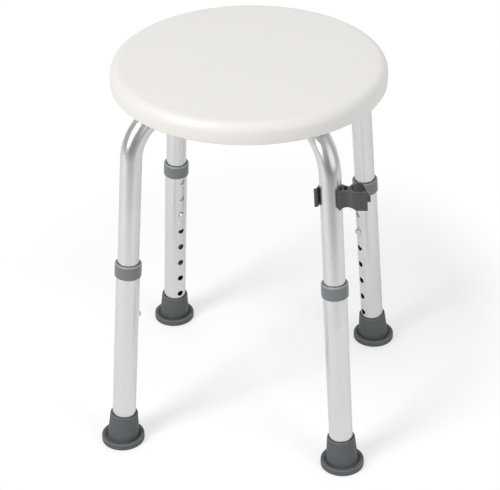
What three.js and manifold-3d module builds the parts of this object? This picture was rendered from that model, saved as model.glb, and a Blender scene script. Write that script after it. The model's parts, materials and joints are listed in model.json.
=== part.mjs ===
// Round shower stool: a hollow plastic seat on two crossed aluminium tubes, with four telescopic
// legs held by spring buttons, collars, rubber feet and a clip-on holder for a hand shower.
// Millimetres, +Z up, -Y is the front. The origin is on the floor under the middle of the seat.
// "Station" is the distance along a leg's axis, from the floor upwards.
import * as THREE from 'three';
import { mergeVertices } from 'three/addons/utils/BufferGeometryUtils.js';
import Module from 'manifold-3d';

const wasm = await Module();
wasm.setup();

const degree = Math.PI / 180;

// ---- fits and fineness
const fitGap = 0.3; // between pieces that rest on or in each other
const tubeSides = 16;
const roundSides = 20;
const smallSides = 10;
const seatSides = 44;
const bendSteps = 6;

// ---- seat: blow-moulded, hollow, flat underneath
const seatRadius = 158.6;
const seatTop = 458;
const rimHeight = 27; // top face to underside
const lowerRoundHeight = 4; // underside to the widest line
const lowerRoundReach = 13.6;
const upperRoundHeight = 12; // the widest line's upper end to the top face
const upperRoundReach = 11;
const seatWall = 3;
const blowHoleRadius = 3;
const blowHolePlace = 92; // from the seat's middle
const bossWall = 3.7; // round the threaded inserts

// ---- frame: two bent tubes that cross under the seat
const upperTubeRadius = 12.5;
const tubeWall = 1.2;
const bendRadius = 52.8;
const tubeBelowSeat = 1.5; // the tubes' centre line under the seat's underside
const flatHalfHeight = 6; // pressed flat at the crossing
const flatHalfWidth = 17;
const flatReach = 21; // from the middle to the end of the flat
const flatBlend = 27; // from the flat's end back to the round tube
const flatSquareness = 0.45; // how much squarer than an ellipse the flat is
const pocketPlay = 4; // round recess in the seat, beyond the pressed tubes

// ---- telescopic legs
const footCircle = 191.1; // stool's axis to a leg's axis, at the floor
const legSplay = 4.78 * degree;
const holeCount = 8;
const holeSpacing = 25.4;
const firstHole = 47.1; // station
const buttonHole = 5; // the hole in use, counted from 0 at the bottom
const holeRadius = 4;
const tubeAboveHoles = 21; // lower tube beyond its last hole
const upperTubeTail = 24.8; // upper tube below the button

// ---- spring buttons
const buttonFlangeReach = 1.2; // beyond the hole
const buttonFlange = 1.2; // thickness
const buttonStand = 4.5; // proud of the lower tube
const buttonRound = 2.2; // height of the domed end
const springWidth = 9;
const springThickness = 1;
const springLength = 38; // button to the spring's bend
const springFoot = 9; // button to the spring's open end
const springTip = 2; // half the width of the bend

// ---- collars
const collarWall = 1.4;
const collarCover = 14.9; // overlap on the lower tube
const collarLip = 2.5; // thickness over the lower tube's end
const collarUpperEdge = 1.7; // chamfers
const collarLowerEdge = 0.7;
const collarCrest = 0.4; // width of the flat between the upper chamfer and the funnel
const collarFunnel = 0.8; // depth of the hollow round the upper tube

// ---- feet
const footRadius = 25.9;
const footRim = 8.3; // height of the flat rim
const footEdge = 2; // round of the lower edge
const footShoulder = 1.5; // round of the upper edge
const footCrease = 1; // step down to the sleeve
const footFloor = 9; // rubber under the washer
const sleeveTop = 39; // station
const sleeveTopWall = 2.3;
const sleeveBaseWall = 4.7;
const washerHole = 4;
const washerThickness = 1.5;

// ---- seat screws
const screwFromBend = 4.6; // inwards from the end of the tube's bend
const screwRadius = 3;
const screwPlay = 0.4; // in the tube's holes
const screwHeadRadius = 4.8;
const screwHeadHeight = 4;
const screwChamfer = 1;
const knobWall = 2.4;
const knobHeight = 10; // above its domed end
const knobFloor = 1.5; // under the screw's head
const knobFlange = 1.4; // height of the flange at the knob's top
const knobWaist = 0.9; // depth of the groove below the flange
const knobChamfer = 1.2;
const domeRadius = 4.4;
const domeHeight = 3.7;
const saddleHeight = 2.6; // under the tube
const saddleWidth = 18;
const saddleLength = 13;
const saddleWing = 2.6; // how far the sides reach up beside the tube
const insertWall = 1.7;
const insertLength = 10;
const insertGroove = 0.7; // depth
const insertGrooveWidth = 2;

// ---- bolt through the crossing
const boltHeadRadius = 6;
const boltHeadHeight = 3.6;
const boltHeadRim = 1.4; // height of the head's upright edge
const boltPocketPlay = 3; // round the head
const nutRadius = 5.8;
const nutHeight = 5;
const boltTail = 1.5; // beyond the nut

// ---- holder for a hand shower, clipped to the front right leg
const holderBelowBend = 25; // the bend's start to the holder's middle
const holderHeight = 22;
const holderTurn = 56.8 * degree; // from the leg's outward direction
const clipWall = 1.6;
const clipGap = 0.4;
const clipJaw = 300 * degree; // the clip's ring starts here, runs round the back
const clipArmRoot = 150 * degree; // and ends here, in an arm
const clipArmReach = [-4.3, -10.3]; // from the ring to the arm's knee
const clipLipReach = [-3.2, -1.2]; // from the knee to the lip's end
const jawRise = 2.7; // the front plate's face before the ring
const jawBase = 1.2; // how far the plate's thick end reaches past the ring's outside
const jawLength = 5;
const webRoot = 19 * degree; // where the web's back edge leaves the ring
const cradlePlace = [32.5, -6.3]; // from the leg's axis, in the holder's own directions
const cradleWall = 2.4;
const cradleTopRadius = 10.6;
const cradleBottomRadius = 9.3;
const cradleMouth = 15;
const frontPlateReach = 6.6; // past the cradle's middle
const backPlateReach = 11.2;
const slopeReach = 8.2; // the slope that takes the upper corner off the back of the cradle
const slopeDrop = 15.5;
const frontPlateRise = 9.5 * degree; // the plate runs forward to the right
const dipStart = 1.2; // hollow down the front plate's face, from its thick end
const dipWidth = 16;
const dipDepth = 1.9;
const archHeight = 3.3; // hollow in the front plate's lower edge
const archInset = 2.3; // from the plate's thick end, and past the edge of the cradle's bore
const pocketDepth = 16; // hollows in the top of the web
const pocketCorner = [14, -9.6]; // the wide one
const pocketSize = [4.2, 8.4];
const pocketRib = 1.4; // between it and the narrow one beside the clip
const narrowPocketSize = [3, 6];

// ---- places that follow from these sizes
const seatUnderside = seatTop - rimHeight;
const tubeHeight = seatUnderside - tubeBelowSeat;
const lowerTubeBore = upperTubeRadius + fitGap;
const lowerTubeRadius = lowerTubeBore + tubeWall;
const legRise = Math.cos(legSplay);
const legLean = Math.sin(legSplay);
const bendStart = (tubeHeight - bendRadius * (1 - legLean)) / legRise;
const bendEnd = footCircle - bendStart * legLean - bendRadius * legRise;
const lowerTubeTop = firstHole + (holeCount - 1) * holeSpacing + tubeAboveHoles;
const buttonStation = firstHole + buttonHole * holeSpacing;
const upperTubeEnd = buttonStation - upperTubeTail;
const buttonRadius = holeRadius - fitGap;
const buttonFlangeRadius = holeRadius + buttonFlangeReach;
const upperTubeBore = upperTubeRadius - tubeWall;
const flangeSeat = Math.sqrt(upperTubeBore ** 2 - buttonFlangeRadius ** 2);
const tubeSeat = footFloor + washerThickness + 2 * fitGap;
const socketRadius = lowerTubeRadius + fitGap; // in the collar and in the foot
const channelRadius = upperTubeRadius + 2 * fitGap;
const channelTop = tubeHeight + channelRadius;
const upperCrossing = tubeHeight + flatHalfHeight + fitGap;
const lowerCrossing = tubeHeight - flatHalfHeight - fitGap;
const pocketRadius = flatReach + flatBlend + pocketPlay;
const pocketTop = Math.max(channelTop, upperCrossing + flatHalfHeight + fitGap);
const screwPlace = bendEnd - screwFromBend; // from the seat's middle, along each tube
const screwHoleRadius = screwRadius + screwPlay;
const insertRadius = screwRadius + fitGap + insertWall;
const insertLow = channelTop + fitGap;
const insertHigh = insertLow + insertLength;
const knobRadius = screwHeadRadius + fitGap + knobWall;
const saddleLow = tubeHeight - upperTubeRadius - saddleHeight;
const knobHigh = saddleLow - fitGap;
const knobLow = knobHigh - knobHeight;
const holderStation = bendStart - holderBelowBend;
const clipBore = upperTubeRadius + clipGap;
const clipOutside = clipBore + clipWall;
const cradleOutside = cradleTopRadius + cradleWall;

const legs = [
  { name: 'front_left', azimuth: 225 * degree },
  { name: 'front_right', azimuth: 315 * degree },
  { name: 'rear_left', azimuth: 135 * degree },
  { name: 'rear_right', azimuth: 45 * degree },
];

// ---- materials
const whitePlastic = new THREE.MeshStandardMaterial({ color: 0xefece7, roughness: 0.42, metalness: 0 });
const aluminium = new THREE.MeshStandardMaterial({ color: 0xd6d6d6, roughness: 0.35, metalness: 0.9 });
const greyPlastic = new THREE.MeshStandardMaterial({ color: 0x70787a, roughness: 0.5, metalness: 0 });
const greyRubber = new THREE.MeshStandardMaterial({ color: 0x62686a, roughness: 0.75, metalness: 0 });
const darkPlastic = new THREE.MeshStandardMaterial({ color: 0x5c5860, roughness: 0.5, metalness: 0 });
const steel = new THREE.MeshStandardMaterial({ color: 0xb9bcbf, roughness: 0.3, metalness: 1 });
const brass = new THREE.MeshStandardMaterial({ color: 0xb59a56, roughness: 0.4, metalness: 1 });

// ---- making solids

// A closed geometry as a manifold solid.
function asSolid(geometry) {
  const bare = geometry.index ? geometry.toNonIndexed() : geometry.clone();
  bare.deleteAttribute('normal');
  bare.deleteAttribute('uv');
  const merged = mergeVertices(bare, 1e-4);
  const corners = merged.index.array;
  const kept = [];
  for (let n = 0; n < corners.length; n += 3) {
    const [a, b, c] = corners.slice(n, n + 3);
    if (a !== b && b !== c && c !== a) kept.push(a, b, c);
  }
  return new wasm.Manifold(new wasm.Mesh({
    numProp: 3,
    vertProperties: merged.attributes.position.array,
    triVerts: new Uint32Array(kept),
  }));
}

// A manifold solid as a geometry.
function asGeometry(solid) {
  const mesh = solid.getMesh();
  const geometry = new THREE.BufferGeometry();
  geometry.setAttribute('position', new THREE.BufferAttribute(mesh.vertProperties, 3));
  geometry.setIndex(new THREE.BufferAttribute(mesh.triVerts, 1));
  geometry.computeVertexNormals();
  return geometry;
}

// Cuts each geometry of a list out of the first one.
function cut(geometry, cutters) {
  let solid = asSolid(geometry);
  for (const cutter of cutters) solid = solid.subtract(asSolid(cutter));
  return asGeometry(solid);
}

// Joins a list of geometries into one.
function join(geometries) {
  let solid = asSolid(geometries[0]);
  for (const other of geometries.slice(1)) solid = solid.add(asSolid(other));
  return asGeometry(solid);
}

// Turns a profile of [radius, height] points about Z. It runs up the outside. The facets are placed
// so that a flat lies square to X.
function turned(profile, sides) {
  const points = profile.map(([radius, height]) => new THREE.Vector2(radius, height));
  const geometry = new THREE.LatheGeometry(points, sides);
  geometry.rotateX(Math.PI / 2);
  geometry.rotateZ(Math.PI / 2 + Math.PI / sides);
  return geometry;
}

// A round bar along Z.
function bar(radius, low, high, sides = smallSides) {
  return turned([[0, low], [radius, low], [radius, high], [0, high]], sides);
}

// A round pipe along Z.
function pipe(radius, bore, low, high, sides) {
  return turned([[bore, low], [radius, low], [radius, high], [bore, high], [bore, low]], sides);
}

// A slab of a plan outline, from one height to another.
function slab(outline, low, high) {
  const shape = new THREE.Shape(outline.map(([x, y]) => new THREE.Vector2(x, y)));
  const geometry = new THREE.ExtrudeGeometry(shape, { depth: high - low, bevelEnabled: false });
  geometry.translate(0, 0, low);
  return geometry;
}

// Joins rings of points, each to the next, and closes both ends: a pipe's rings come back inside it,
// so its last ring joins the first, and a solid bar's end rings get a fan.
function skinned(rings, comesBack) {
  const sides = rings[0].length;
  const positions = rings.flat().flatMap((point) => point.toArray());
  const corners = [];
  const bands = comesBack ? rings.length : rings.length - 1;
  for (let ring = 0; ring < bands; ring += 1) {
    const next = (ring + 1) % rings.length;
    for (let side = 0; side < sides; side += 1) {
      const a = ring * sides + side;
      const b = ring * sides + ((side + 1) % sides);
      const c = next * sides + ((side + 1) % sides);
      const d = next * sides + side;
      corners.push(a, b, c, a, c, d);
    }
  }
  if (!comesBack) {
    const last = (rings.length - 1) * sides;
    for (let side = 1; side < sides - 1; side += 1) {
      corners.push(0, side + 1, side);
      corners.push(last, last + side, last + side + 1);
    }
  }
  const geometry = new THREE.BufferGeometry();
  geometry.setAttribute('position', new THREE.Float32BufferAttribute(positions, 3));
  geometry.setIndex(corners);
  geometry.computeVertexNormals();
  return geometry;
}

// A node of the model.
function piece(name, geometry, material, parent) {
  const mesh = new THREE.Mesh(geometry, material);
  mesh.name = name;
  parent.add(mesh);
}

// ---- frame tubes

// One side of a bent tube's centre line, from its lower end to the middle of the stool: where it
// is (out from the middle, up) and which way it runs.
function halfCentreLine() {
  const line = [];
  const start = Math.PI / 2 + legSplay;
  for (const station of [upperTubeEnd, bendStart]) {
    line.push({ out: footCircle - station * legLean, up: station * legRise, heading: start });
  }
  for (let step = 1; step <= bendSteps; step += 1) {
    const heading = THREE.MathUtils.lerp(start, Math.PI, step / bendSteps);
    line.push({
      out: bendEnd + bendRadius * Math.sin(heading),
      up: tubeHeight - bendRadius - bendRadius * Math.cos(heading),
      heading,
    });
  }
  for (const share of [1, 2 / 3, 1 / 3, 0]) {
    line.push({ out: flatReach + flatBlend * share, up: tubeHeight, heading: Math.PI });
  }
  return line;
}

// How flat the tube is pressed at a distance from the middle: 0 is round, 1 is flat.
function flatness(out) {
  const share = THREE.MathUtils.clamp((flatReach + flatBlend - Math.abs(out)) / flatBlend, 0, 1);
  return share * share * (3 - 2 * share);
}

// The whole centre line in the plane X, Z, with the tube's half sizes.
function centreLine(crossingHeight) {
  const half = halfCentreLine();
  const other = half.map(({ out, up, heading }) => ({ out: -out, up, heading: 2 * Math.PI - heading }));
  const line = [...half, ...other.reverse()];
  return line.map(({ out, up, heading }) => {
    const flat = flatness(out);
    return {
      out,
      up: THREE.MathUtils.lerp(up, crossingHeight, flat),
      heading,
      halfWidth: THREE.MathUtils.lerp(upperTubeRadius, flatHalfWidth, flat),
      halfHeight: THREE.MathUtils.lerp(upperTubeRadius, flatHalfHeight, flat),
      squareness: 1 - flatSquareness * flat,
    };
  });
}

// A ring of points round the centre line. A squareness of 1 is an ellipse, less is squarer.
function ringAt({ out, up, heading, halfWidth, halfHeight, squareness }, inset) {
  const ring = [];
  for (let side = 0; side < tubeSides; side += 1) {
    const angle = ((side + 0.5) / tubeSides) * 2 * Math.PI;
    const [c, s] = [Math.cos(angle), Math.sin(angle)];
    const across = (halfWidth - inset) * Math.sign(s) * Math.abs(s) ** squareness;
    const above = (halfHeight - inset) * Math.sign(c) * Math.abs(c) ** squareness;
    ring.push(new THREE.Vector3(
      out + above * Math.sin(heading),
      across,
      up - above * Math.cos(heading),
    ));
  }
  return ring;
}

// A bent tube with its holes: two for the buttons, two for the seat screws, one for the bolt.
function frameTube(crossingHeight) {
  const line = centreLine(crossingHeight);
  const outside = line.map((place) => ringAt(place, 0));
  const inside = line.map((place) => ringAt(place, tubeWall)).reverse();
  const holes = [-screwPlace, 0, screwPlace].map((place) => {
    const hole = bar(screwHoleRadius, tubeHeight - 2 * upperTubeRadius, tubeHeight + 2 * upperTubeRadius);
    hole.translate(place, 0, 0);
    return hole;
  });
  for (const turn of [0, Math.PI]) {
    const hole = inwardBar(holeRadius, 0, 2 * upperTubeRadius);
    hole.translate(0, 0, buttonStation);
    hole.rotateY(-legSplay);
    hole.translate(footCircle, 0, 0);
    hole.rotateZ(turn);
    holes.push(hole);
  }
  return cut(skinned([...outside, ...inside], true), holes);
}

// A round bar from a leg's axis towards the middle of the stool.
function inwardBar(radius, from, to) {
  const geometry = bar(radius, from, to);
  geometry.rotateY(-Math.PI / 2);
  return geometry;
}

// ---- seat

// The seat's outline [radius, height] from the middle of its underside up to the middle of its top,
// drawn in by an inset all round.
function seatProfile(inset) {
  const widestLow = seatUnderside + lowerRoundHeight;
  const widestHigh = seatTop - upperRoundHeight;
  const profile = [[0, seatUnderside + inset]];
  const lowSteps = 2;
  const highSteps = 6;
  for (let step = 0; step <= lowSteps; step += 1) {
    const angle = (step / lowSteps) * (Math.PI / 2);
    profile.push([
      seatRadius - lowerRoundReach + (lowerRoundReach - inset) * Math.sin(angle),
      widestLow - (lowerRoundHeight - inset) * Math.cos(angle),
    ]);
  }
  for (let step = 0; step <= highSteps; step += 1) {
    const angle = (step / highSteps) * (Math.PI / 2);
    profile.push([
      seatRadius - upperRoundReach + (upperRoundReach - inset) * Math.cos(angle),
      widestHigh + (upperRoundHeight - inset) * Math.sin(angle),
    ]);
  }
  profile.push([0, seatTop - inset]);
  return profile;
}

// The channels that the tubes lie in, as solid bars. Over the crossing they run straight on.
function channels(radius) {
  const reachesSeat = ({ out, up }) => up > seatUnderside - 2 * radius && flatness(out) === 0;
  const line = centreLine(tubeHeight).filter(reachesSeat);
  const round = line.map((place) => ({ ...place, halfWidth: radius, halfHeight: radius, squareness: 1 }));
  return legs.slice(0, 2).map(({ azimuth }) => {
    const channel = skinned(round.map((place) => ringAt(place, 0)), false);
    channel.rotateZ(azimuth);
    return channel;
  });
}

// A shape copied to the four screw places.
function atScrews(make) {
  return legs.map(({ azimuth }) => {
    const geometry = make();
    geometry.translate(screwPlace, 0, 0);
    geometry.rotateZ(azimuth);
    return geometry;
  });
}

function seatShell() {
  const below = seatUnderside - seatWall;
  const boltTop = upperCrossing + flatHalfHeight + boltHeadHeight + 3 * fitGap;
  const boltPocket = boltHeadRadius + boltPocketPlay;
  const cavity = cut(turned(seatProfile(seatWall), seatSides), [
    ...channels(channelRadius + seatWall),
    bar(pocketRadius + seatWall, below, pocketTop + seatWall, roundSides),
    bar(boltPocket + seatWall, below, boltTop + seatWall),
    ...atScrews(() => bar(insertRadius + fitGap + bossWall, below, seatTop)),
  ]);
  const blowHole = bar(blowHoleRadius, below, seatUnderside + 2 * seatWall);
  blowHole.translate(0, blowHolePlace, 0);
  return cut(turned(seatProfile(0), seatSides), [
    ...channels(channelRadius),
    bar(pocketRadius, below, pocketTop, roundSides),
    bar(boltPocket, below, boltTop),
    ...atScrews(() => bar(insertRadius + fitGap, below, insertHigh + fitGap)),
    cavity,
    blowHole,
  ]);
}

// ---- fasteners

// Threaded bush moulded into the seat, with a groove round it that keeps it in.
function threadedInsert() {
  const bore = screwRadius + fitGap;
  const neck = insertRadius - insertGroove;
  const middle = (insertLow + insertHigh) / 2;
  const grooveHalf = insertGrooveWidth / 2;
  const grooveEnd = grooveHalf + insertGroove;
  return turned([
    [bore, insertLow], [insertRadius, insertLow], [insertRadius, middle - grooveEnd],
    [neck, middle - grooveHalf], [neck, middle + grooveHalf], [insertRadius, middle + grooveEnd],
    [insertRadius, insertHigh], [bore, insertHigh], [bore, insertLow],
  ], smallSides);
}

// Plastic saddle between a tube and a seat screw's knob, hollowed to the tube.
function saddleWasher() {
  const high = tubeHeight - upperTubeRadius + saddleWing;
  const block = new THREE.BoxGeometry(saddleLength, saddleWidth, high - saddleLow);
  block.translate(0, 0, (saddleLow + high) / 2);
  const hollow = bar(upperTubeRadius + fitGap, -saddleLength, saddleLength, tubeSides);
  hollow.rotateY(Math.PI / 2);
  hollow.translate(0, 0, tubeHeight);
  return cut(block, [hollow, bar(screwHoleRadius, saddleLow - saddleHeight, high)]);
}

// Knob moulded round the screw's head, with a domed end and a waist under its flange.
function screwKnob() {
  const domeLow = knobLow - domeHeight;
  const waist = knobRadius - knobWaist;
  const bore = screwRadius + fitGap;
  const recess = screwHeadRadius + fitGap;
  const recessLow = knobLow + knobFloor;
  const recessTop = recessLow + screwHeadHeight + 2 * fitGap;
  const flangeLow = knobHigh - knobFlange;
  return turned([
    [0, domeLow], [0.5 * domeRadius, domeLow + 0.13 * domeHeight],
    [0.87 * domeRadius, domeLow + 0.5 * domeHeight], [domeRadius, knobLow],
    [knobRadius - knobChamfer, knobLow], [knobRadius, knobLow + knobChamfer],
    [knobRadius, flangeLow - 2 * knobWaist], [waist, flangeLow - knobWaist], [knobRadius, flangeLow],
    [knobRadius, knobHigh], [bore, knobHigh], [bore, recessTop], [recess, recessTop],
    [recess, recessLow], [0, recessLow],
  ], tubeSides);
}

// Screw with a hexagon head, up through the tube into the seat's insert.
function seatScrew() {
  const headLow = knobLow + knobFloor + fitGap;
  const headHigh = headLow + screwHeadHeight;
  const tip = insertHigh - screwChamfer;
  return join([
    bar(screwHeadRadius, headLow, headHigh, 6),
    turned([
      [0, headLow + screwChamfer], [screwRadius, headLow + screwChamfer],
      [screwRadius, tip - screwChamfer], [screwRadius - screwChamfer, tip], [0, tip],
    ], smallSides),
  ]);
}

// Bolt down through both tubes where they cross, with a low round head.
function centreBolt() {
  const seat = upperCrossing + flatHalfHeight + fitGap;
  const tip = lowerCrossing - flatHalfHeight - fitGap - nutHeight - boltTail;
  return turned([
    [0, tip], [screwRadius - screwChamfer, tip], [screwRadius, tip + screwChamfer], [screwRadius, seat],
    [boltHeadRadius, seat], [boltHeadRadius, seat + boltHeadRim],
    [boltHeadRadius - boltHeadHeight + boltHeadRim, seat + boltHeadHeight], [0, seat + boltHeadHeight],
  ], smallSides);
}

function centreNut() {
  const high = lowerCrossing - flatHalfHeight - fitGap;
  return cut(bar(nutRadius, high - nutHeight, high, 6),
    [bar(screwRadius + fitGap, high - 2 * nutHeight, high + nutHeight)]);
}

// ---- leg pieces, each in its leg's own directions: X outwards, Z up the leg from the floor

function lowerTube() {
  const holes = [];
  for (let hole = 0; hole < holeCount; hole += 1) {
    const geometry = inwardBar(holeRadius, 0, 2 * lowerTubeRadius);
    geometry.translate(0, 0, firstHole + hole * holeSpacing);
    holes.push(geometry);
  }
  return cut(pipe(lowerTubeRadius, lowerTubeBore, tubeSeat, lowerTubeTop, tubeSides), holes);
}

// Sleeve round the lower tube's top, with a lip over the tube's end that guides the upper tube. The
// lip's top slopes down to the upper tube.
function collar() {
  const low = lowerTubeTop - collarCover;
  const outside = socketRadius + collarWall;
  const lipBottom = lowerTubeTop + fitGap;
  const top = lipBottom + collarLip;
  const crest = outside - collarUpperEdge;
  return turned([
    [socketRadius, low], [outside - collarLowerEdge, low], [outside, low + collarLowerEdge],
    [outside, top - collarUpperEdge], [crest, top], [crest - collarCrest, top],
    [lowerTubeBore, top - collarFunnel], [lowerTubeBore, lipBottom], [socketRadius, lipBottom],
    [socketRadius, low],
  ], tubeSides);
}

// Steel disc in the foot, under the tube's end.
function footWasher() {
  const low = footFloor + fitGap;
  return pipe(lowerTubeRadius - fitGap, washerHole, low, low + washerThickness, tubeSides);
}

// Rubber foot: a flat round base with a sleeve that leans with the leg. Its X points outwards and
// its Z straight up.
function foot() {
  const sleeveBase = socketRadius + sleeveBaseWall;
  const sleeveEnd = socketRadius + sleeveTopWall;
  const base = turned([
    [0, 0], [footRadius - footEdge, 0], [footRadius - 0.2 * footEdge, 0.35 * footEdge],
    [footRadius, footEdge], [footRadius, footRim - footShoulder],
    [footRadius - 0.35 * footShoulder, footRim - 0.35 * footShoulder],
    [footRadius - footShoulder, footRim], [sleeveBase + 2 * footCrease, footRim],
    [sleeveBase, footRim - footCrease], [0, footRim - footCrease],
  ], roundSides);
  const sleeve = turned([
    [0, footRim / 2], [sleeveBase, footRim / 2], [sleeveBase, footRim],
    [sleeveEnd, sleeveTop - 0.4 * sleeveTopWall], [sleeveEnd - 0.3 * sleeveTopWall, sleeveTop],
    [0, sleeveTop],
  ], roundSides);
  const socket = bar(socketRadius, footFloor, 2 * sleeveTop, tubeSides);
  sleeve.rotateY(-legSplay);
  socket.rotateY(-legSplay);
  return cut(join([base, sleeve]), [socket]);
}

// Domed button with a flange that stays inside the upper tube, pointing inwards.
function snapButton() {
  const shoulder = flangeSeat - fitGap;
  const tip = lowerTubeRadius + buttonStand;
  const button = turned([
    [0, shoulder - buttonFlange], [buttonFlangeRadius, shoulder - buttonFlange],
    [buttonFlangeRadius, shoulder], [buttonRadius, shoulder], [buttonRadius, tip - buttonRound],
    [0.87 * buttonRadius, tip - 0.5 * buttonRound], [0.5 * buttonRadius, tip - 0.13 * buttonRound], [0, tip],
  ], smallSides);
  button.rotateY(-Math.PI / 2);
  button.translate(0, 0, buttonStation);
  return button;
}

// Strip of spring steel bent into a V inside the upper tube. One arm pushes the button out and the
// other bears on the far wall.
function snapSpring() {
  const half = springThickness / 2;
  const front = flangeSeat - 2 * fitGap - buttonFlange - half;
  const back = Math.sqrt(upperTubeBore ** 2 - (springWidth / 2) ** 2) - 2 * fitGap - half;
  const middle = [
    [-front, -springFoot], [-front, springFoot], [-springTip, springLength - springTip], [0, springLength],
    [springTip, springLength - springTip], [back, springFoot], [back, -springFoot],
  ];
  const outer = offsetLine(middle, half);
  const inner = offsetLine(middle, -half).reverse();
  const strip = slab([...outer, ...inner], -springWidth / 2, springWidth / 2);
  strip.rotateX(Math.PI / 2);
  strip.translate(0, 0, buttonStation);
  return strip;
}

// A bent line moved sideways by an even distance, its corners mitred.
function offsetLine(line, distance) {
  const normals = line.slice(1).map(([x, y], n) => {
    const [dx, dy] = [x - line[n][0], y - line[n][1]];
    const length = Math.hypot(dx, dy);
    return [-dy / length, dx / length];
  });
  return line.map(([x, y], n) => {
    const before = normals[Math.max(n - 1, 0)];
    const after = normals[Math.min(n, normals.length - 1)];
    const [sx, sy] = [before[0] + after[0], before[1] + after[1]];
    const scale = (2 * distance) / (sx * sx + sy * sy);
    return [x + sx * scale, y + sy * scale];
  });
}

// ---- holder, in its own directions: X along the front plate's side, Z up the leg

// A slab of a plan outline, as high as the holder.
function holderSlab(outline) {
  return slab(outline, -holderHeight / 2, holderHeight / 2);
}

// A slab of a plan outline right through the holder.
function throughHolder(outline) {
  return slab(outline, -holderHeight, holderHeight);
}

// A point on the ring of the clip, at a radius and an angle.
function ringPoint(radius, angle) {
  return [radius * Math.cos(angle), radius * Math.sin(angle)];
}

// Where the front plate's face starts.
function faceStart() {
  const [x, y] = ringPoint(clipOutside, clipJaw);
  return [x, y - jawRise];
}

// A point of the front plate, at a distance along its face and a depth behind it.
function platePoint(along, depth) {
  const [x, y] = faceStart();
  const [c, s] = [Math.cos(frontPlateRise), Math.sin(frontPlateRise)];
  return [x + along * c + depth * s, y - along * s + depth * c];
}

// The clip's ring, the cradle's cup, and the plates and web that join them.
function holder() {
  const half = holderHeight / 2;
  const [cx, cy] = cradlePlace;
  const ring = cut(bar(clipOutside, -half, half, roundSides), [clipMouth()]);
  const cup = bar(cradleOutside, -half, half, roundSides);
  cup.translate(cx, cy, 0);
  const [low, high, right] = [cy + cradleMouth / 2, cy + cradleMouth / 2 + cradleWall, cx + backPlateReach];
  const backPlate = holderSlab([[cx, low], [right, low], [right, high], [cx, high]]);
  return cut(join([ring, clipArm(), frontPlate(), cup, backPlate, web()]), [
    bar(clipBore, -holderHeight, holderHeight, roundSides),
    cradleCone(), cradleSlot(), cradleTrim(), cradleSlope(), archCut(), ...corePockets(),
  ]);
}

// The wedge that opens the clip.
function clipMouth() {
  const far = 2 * clipOutside;
  return throughHolder([[0, 0], ringPoint(far, clipArmRoot), [-far, -far], ringPoint(far, clipJaw)]);
}

// The clip's springy arm, which leaves the tube and ends in a lip that points outwards.
function clipArm() {
  const half = clipWall / 2;
  const root = ringPoint(clipOutside - half, clipArmRoot - clipWall / clipOutside);
  const knee = [root[0] + clipArmReach[0], root[1] + clipArmReach[1]];
  const end = [knee[0] + clipLipReach[0], knee[1] + clipLipReach[1]];
  const middle = [root, knee, end];
  return holderSlab([...offsetLine(middle, half), ...offsetLine(middle, -half).reverse()]);
}

// The front plate, from its thick end on the clip to beyond the cradle. Its face is hollowed by one
// wave of a cosine.
function frontPlate() {
  const length = (frontPlateEnd() - faceStart()[0]) / Math.cos(frontPlateRise);
  const dipSteps = 8;
  const face = [];
  for (let step = 0; step <= dipSteps; step += 1) {
    const share = step / dipSteps;
    const depth = (dipDepth / 2) * (1 - Math.cos(2 * Math.PI * share));
    face.push(platePoint(dipStart + share * dipWidth, depth));
  }
  return holderSlab([
    platePoint(0, 0), ...face, platePoint(length, 0), platePoint(length, cradleWall),
    platePoint(jawLength, cradleWall), platePoint(0, jawRise + jawBase),
  ]);
}

// Where the front plate ends.
function frontPlateEnd() {
  return cradlePlace[0] + frontPlateReach;
}

// The web behind the front plate, between the clip and the cradle.
function web() {
  const [cx, cy] = cradlePlace;
  const front = 0.9 * cradleWall;
  return holderSlab([
    platePoint(jawLength / 2, front), platePoint(dipStart + dipWidth, front),
    [cx - cradleTopRadius, cy + cradleMouth / 4], ringPoint((clipBore + clipOutside) / 2, webRoot),
  ]);
}

// The cradle's tapered bore.
function cradleCone() {
  const half = holderHeight / 2 + fitGap;
  const profile = [[0, -half], [cradleBottomRadius, -half], [cradleTopRadius, half], [0, half]];
  const cone = turned(profile, roundSides);
  cone.translate(...cradlePlace, 0);
  return cone;
}

// The slot that lets the hand shower's hose into the cradle.
function cradleSlot() {
  const [cx, cy] = cradlePlace;
  const [low, high, far] = [cy - cradleMouth / 2, cy + cradleMouth / 2, cx + 2 * cradleOutside];
  return throughHolder([[cx, low], [far, low], [far, high], [cx, high]]);
}

// Squares the cup off in front of the slot, where the front plate ends.
function cradleTrim() {
  const cy = cradlePlace[1];
  const left = frontPlateEnd();
  const [low, right] = [cy - 2 * cradleOutside, left + cradleOutside];
  return throughHolder([[left, low], [right, low], [right, cy], [left, cy]]);
}

// The wedge above the slope at the back of the slot.
function cradleSlope() {
  const [cx, cy] = cradlePlace;
  const [right, top] = [cx + backPlateReach, holderHeight / 2];
  const wedge = slab([
    [right - slopeReach, top], [right, top - slopeDrop], [right + fitGap, top - slopeDrop],
    [right + fitGap, top + fitGap], [right - slopeReach, top + fitGap],
  ], -cy - 2 * cradleOutside, -cy);
  wedge.rotateX(Math.PI / 2);
  return wedge;
}

// The hollow in the front plate's lower edge, between the leg and the cradle.
function archCut() {
  const left = faceStart()[0] + archInset;
  const right = cradlePlace[0] - cradleBottomRadius + archInset;
  const arch = bar(1, -cradlePlace[1], 2 * cradleOutside, tubeSides);
  arch.scale((right - left) / 2, archHeight, 1);
  arch.rotateX(Math.PI / 2);
  arch.translate((left + right) / 2, 0, -holderHeight / 2);
  return arch;
}

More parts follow.
